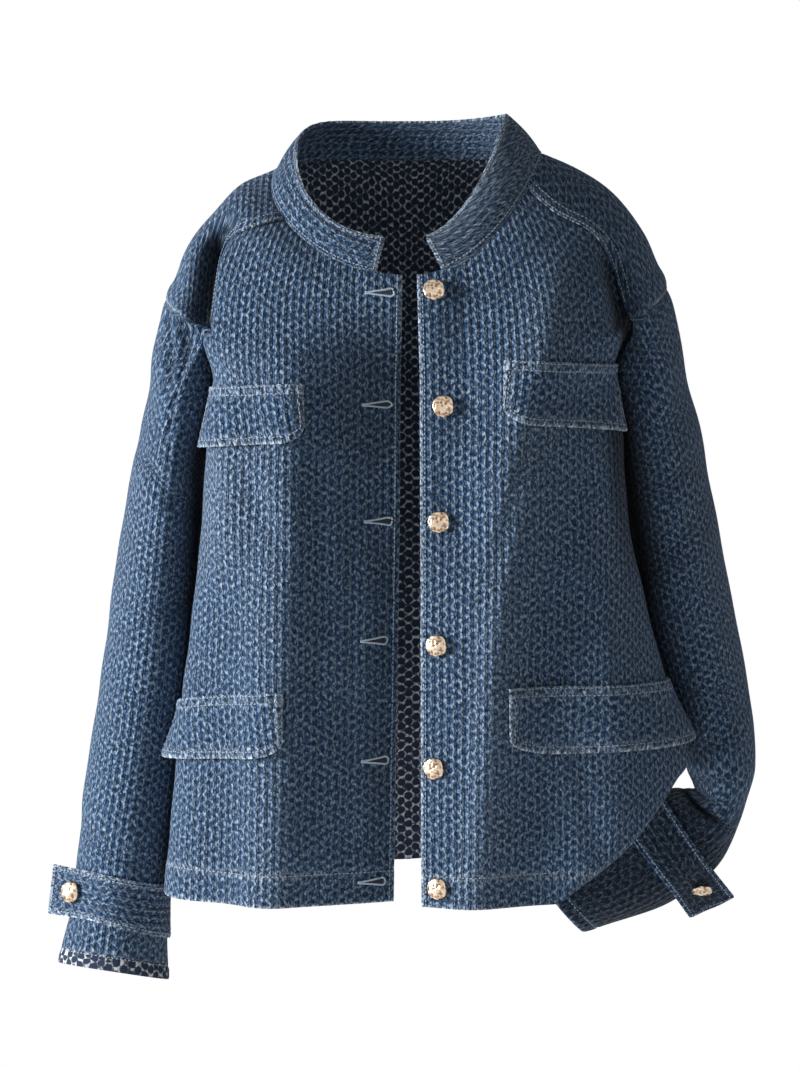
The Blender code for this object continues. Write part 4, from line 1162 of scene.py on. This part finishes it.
# Buttonholes: six keyhole buttonholes cut along the right front's edge and whipped round in pale thread,
# the round eye towards the edge.
BUTTONHOLES = ((-23.4, -100), (-25.8, -187), (-25.0, -277), (-28.8, -370), (-28.0, -464.5), (-31.0, -560))
HOLE_LENGTH = 0.0225
HOLE_EYE = 0.0029
WHIP_SIZE = (0.0019, 0.0011, 0.0012)
WHIP_PITCH = 0.00075
SLIT_SIZE = (0.0028, 0.0013, 0.0009)
SLIT_PITCH = 0.0018


def front_place(side, x, z):
    t = loop_at_height(side, 0.15, z)
    for _ in range(3):
        theta = angle_at_x(side, t, x)
        t = loop_at_height(side, theta, z)
    return theta, t


def before_front(side, x, z, clear=0.005):
    """Places just before a front's cloth, so that the nearest face to them is its outer one."""
    theta, t = front_place(side, x, z)
    return torso(side, theta, t) + torso_normal(side, theta, t) * clear


twist = thread_material("pale buttonhole twist", "#d9e6f1", "#9ab5cf")
# Painted shade: dark bars laid along each slit stand in for the shadow inside the cut
slit_thread = thread_material("shadowed cut edge", "#1c2430", "#0d1118")
front_tree = cloth["front_right"][1]
whipped = []
slits = []
for x, z in BUTTONHOLES:
    ring = np.radians(np.linspace(100, -100, 16))
    tail = np.linspace(-HOLE_LENGTH / 2, HOLE_LENGTH / 2 - HOLE_EYE, 24)
    width = 0.0004 + (HOLE_EYE - 0.0004) * ((tail - tail[0]) / (tail[-1] - tail[0])) ** 1.3
    a = np.concatenate([tail, tail[-1] + HOLE_EYE * np.cos(ring), tail[::-1]])
    b = np.concatenate([width, HOLE_EYE * np.sin(ring), -width[::-1]])
    line = before_front(RIGHT, x * MM + a, z * MM + b)
    whipped += lay_stitches(front_tree, line, WHIP_PITCH, crosswise=True)
    for share in np.linspace(-0.6, 0.6, 5):
        line = before_front(RIGHT, x * MM + tail[6:] + 0.0012, z * MM + share * width[6:])
        slits += lay_stitches(front_tree, line, SLIT_PITCH)
sew_stitches("buttonhole_thread", whipped, twist, WHIP_SIZE)
sew_stitches("buttonhole_slits", slits, slit_thread, SLIT_SIZE)

# Buttons: eight shank buttons of die-cast zinc alloy plated pale gold, their domed faces struck with soft
# hammer marks. Six sit on the left front and one holds each cuff strap.
BUTTON_RADIUS = 0.0083
BUTTON_CLEAR = 0.0004
BUTTON_FLATTEN = 0.30
BUTTON_BACK = -0.0016
BUTTON_STAND = 0.0024
HAMMER_PITCH = 0.0023
HAMMER_DEPTH = 0.0012
FRONT_BUTTONS = ((18, -99), (25, -187), (22, -276), (21, -371), (19, -467), (22, -561))


def plated_gold():
    """Pale gold plating over hammered metal: bright, slightly pink, and darker down in the hammer marks,
    where the shade is painted.
    """
    material, shader = blank_material("hammered pale gold plating")
    struck = add(material, "Attribute", attribute_name="struck")
    place = add(material, "TexCoord")
    cloud = add(material, "TexNoise", {"Vector": place.outputs["Object"], "Scale": 420.0, "Detail": 3.0})
    colour = add(material, "Mix", {0: cloud, 6: srgb("#d9b893"), 7: srgb("#fbeedd")}, data_type="RGBA")
    colour = add(material, "Mix", {0: struck.outputs["Fac"], 6: srgb("#7d5a3c"), 7: colour.outputs[2]},
                 data_type="RGBA")
    rough = add(material, "MapRange", {0: cloud, 1: 0.3, 2: 0.7, 3: 0.22, 4: 0.42})
    bump = add(material, "Bump", {"Height": cloud, "Distance": 0.25 * MM, "Strength": 0.6})
    plug(material, shader, {"Base Color": colour.outputs[2], "Roughness": rough, "Normal": bump,
                            "Metallic": 1.0})
    return material


gold = plated_gold()
bpy.ops.object.select_all(action="DESELECT")
bpy.ops.mesh.primitive_uv_sphere_add(segments=44, ring_count=26, radius=BUTTON_RADIUS)
cast = bpy.context.active_object
cast.name = "button_pattern"
bpy.ops.object.mode_set(mode="EDIT")
bpy.ops.mesh.select_all(action="SELECT")
bpy.ops.transform.resize(value=(1.0, 1.0, BUTTON_FLATTEN))
bpy.ops.object.mode_set(mode="OBJECT")
marks = bpy.data.textures.new("hammer marks", "VORONOI")
marks.noise_scale = HAMMER_PITCH
marks.distance_metric = "DISTANCE"
hammer = cast.modifiers.new("hammer", "DISPLACE")
hammer.texture = marks
hammer.texture_coords = "LOCAL"
hammer.strength = HAMMER_DEPTH
hammer.mid_level = 0.45
smooth_reach = [v.co.length for v in cast.data.vertices]
bpy.ops.object.modifier_apply(modifier="hammer")
sunk = np.array([v.co.length for v in cast.data.vertices]) - np.array(smooth_reach)
deep, high = np.percentile(sunk, (8, 60))
cast_struck = np.clip((sunk - deep) / (high - deep), 0, 1)
cast_points = np.array([v.co for v in cast.data.vertices])
cast_points[:, 2] = np.clip(cast_points[:, 2], BUTTON_BACK, None) + BUTTON_STAND
cast_faces = [tuple(f.vertices) for f in cast.data.polygons]
bpy.data.objects.remove(cast, do_unlink=True)


def fix_button(name, seat, face):
    z = np.asarray(face)
    x = unit(np.cross((0.0, 0.0, 1.0), z))
    y = np.cross(z, x)
    points = np.asarray(seat) + z * BUTTON_CLEAR + cast_points @ np.stack([x, y, z])
    mesh = bpy.data.meshes.new(name)
    mesh.from_pydata(points.tolist(), [], cast_faces)
    mesh.materials.append(gold)
    struck = mesh.attributes.new("struck", "FLOAT", "POINT")
    struck.data.foreach_set("value", cast_struck.astype(np.float32))
    mesh.polygons.foreach_set("use_smooth", np.ones(len(mesh.polygons), bool))
    mesh.update()
    button = bpy.data.objects.new(name + "_cast", mesh)
    bpy.context.scene.collection.objects.link(button)
    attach(button, "root")
    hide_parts(name)
    return button


for n, (x, z) in enumerate(FRONT_BUTTONS, 1):
    theta, t = front_place(LEFT, np.array(x * MM), np.array(z * MM))
    normal = torso_normal(LEFT, theta, t)
    start = Vector(torso(LEFT, theta, t) + normal * RAY_START)
    place = cloth["front_left"][1].ray_cast(start, -Vector(normal), FRONT_RAY)[0]
    fix_button(f"button_{n}", np.array(place), normal)
for side in (RIGHT, LEFT):
    fix_button("cuff_button_" + SIDE_NAMES[side], *cuff_button_seat[side])

# The studio: a pale floor well below the jacket, white surroundings, one large soft light from the upper
# left of the front and a weak one from the other side.
FLOOR_Z = -1.25
FLOOR_RADIUS = 1.5
SKY_ON_CLOTH = 0.152
SKY_IN_METAL = 0.75
LIGHT_AIM = (0, 0, -0.3)
bpy.ops.object.select_all(action="DESELECT")
bpy.ops.mesh.primitive_circle_add(vertices=96, radius=FLOOR_RADIUS, fill_type="NGON",
                                  location=(0, 0, FLOOR_Z))
floor = bpy.context.active_object
floor.name = "floor"
bpy.ops.object.transform_apply(location=True)
# Pale matt paint with a faint glow of its own, so that it stays nearly white away from the light
floor_paint, shader = blank_material("pale matt floor")
plug(floor_paint, shader, {"Base Color": srgb("#eeeeee"), "Roughness": 0.9,
                           "Emission Color": srgb("#ffffff"), "Emission Strength": 0.45})
floor.data.materials.append(floor_paint)

world = bpy.data.worlds.new("white surroundings")
bpy.context.scene.world = world
world.use_nodes = True
sky = world.node_tree.nodes["Background"]
rays = add(world, "LightPath")
shiny = add(world, "MapRange", {0: rays.outputs["Is Glossy Ray"], 3: SKY_ON_CLOTH, 4: SKY_IN_METAL})
strength = add(world, "MapRange", {0: rays.outputs["Is Camera Ray"], 3: shiny, 4: 1.0})
plug(world, sky, {"Strength": strength, "Color": srgb("#ffffff")})


def soft_light(name, place, size, power):
    lamp = bpy.data.lights.new(name, "AREA")
    lamp.size = size
    lamp.energy = power
    light = bpy.data.objects.new(name, lamp)
    light.location = place
    light.rotation_euler = (Vector(LIGHT_AIM) - Vector(place)).to_track_quat("-Z", "Y").to_euler()
    bpy.context.scene.collection.objects.link(light)


soft_light("key light", (-2.75, -0.85, 0.1), 0.9, 118)
soft_light("fill light", (1.6, -2.4, 0.2), 1.5, 5.0)
bpy.context.scene.view_settings.view_transform = "Standard"

# The camera stands level with the chest, looking slightly down, as far off as a long portrait lens needs.
TARGET = Vector((-0.008, 0.0, -0.2944))
DISTANCE = 3.0
RISE_DEG = 5.0
VIEW_HALF_HEIGHT = 0.4268
lens = bpy.data.cameras.new("camera")
lens.sensor_width = 36.0
lens.lens = 18.0 * DISTANCE / VIEW_HALF_HEIGHT
camera = bpy.data.objects.new("camera", lens)
rise = math.radians(RISE_DEG)
camera.location = TARGET + DISTANCE * Vector((0.0, -math.cos(rise), math.sin(rise)))
camera.rotation_euler = (math.pi / 2 - rise, 0.0, 0.0)
bpy.context.scene.collection.objects.link(camera)
bpy.context.scene.camera = camera
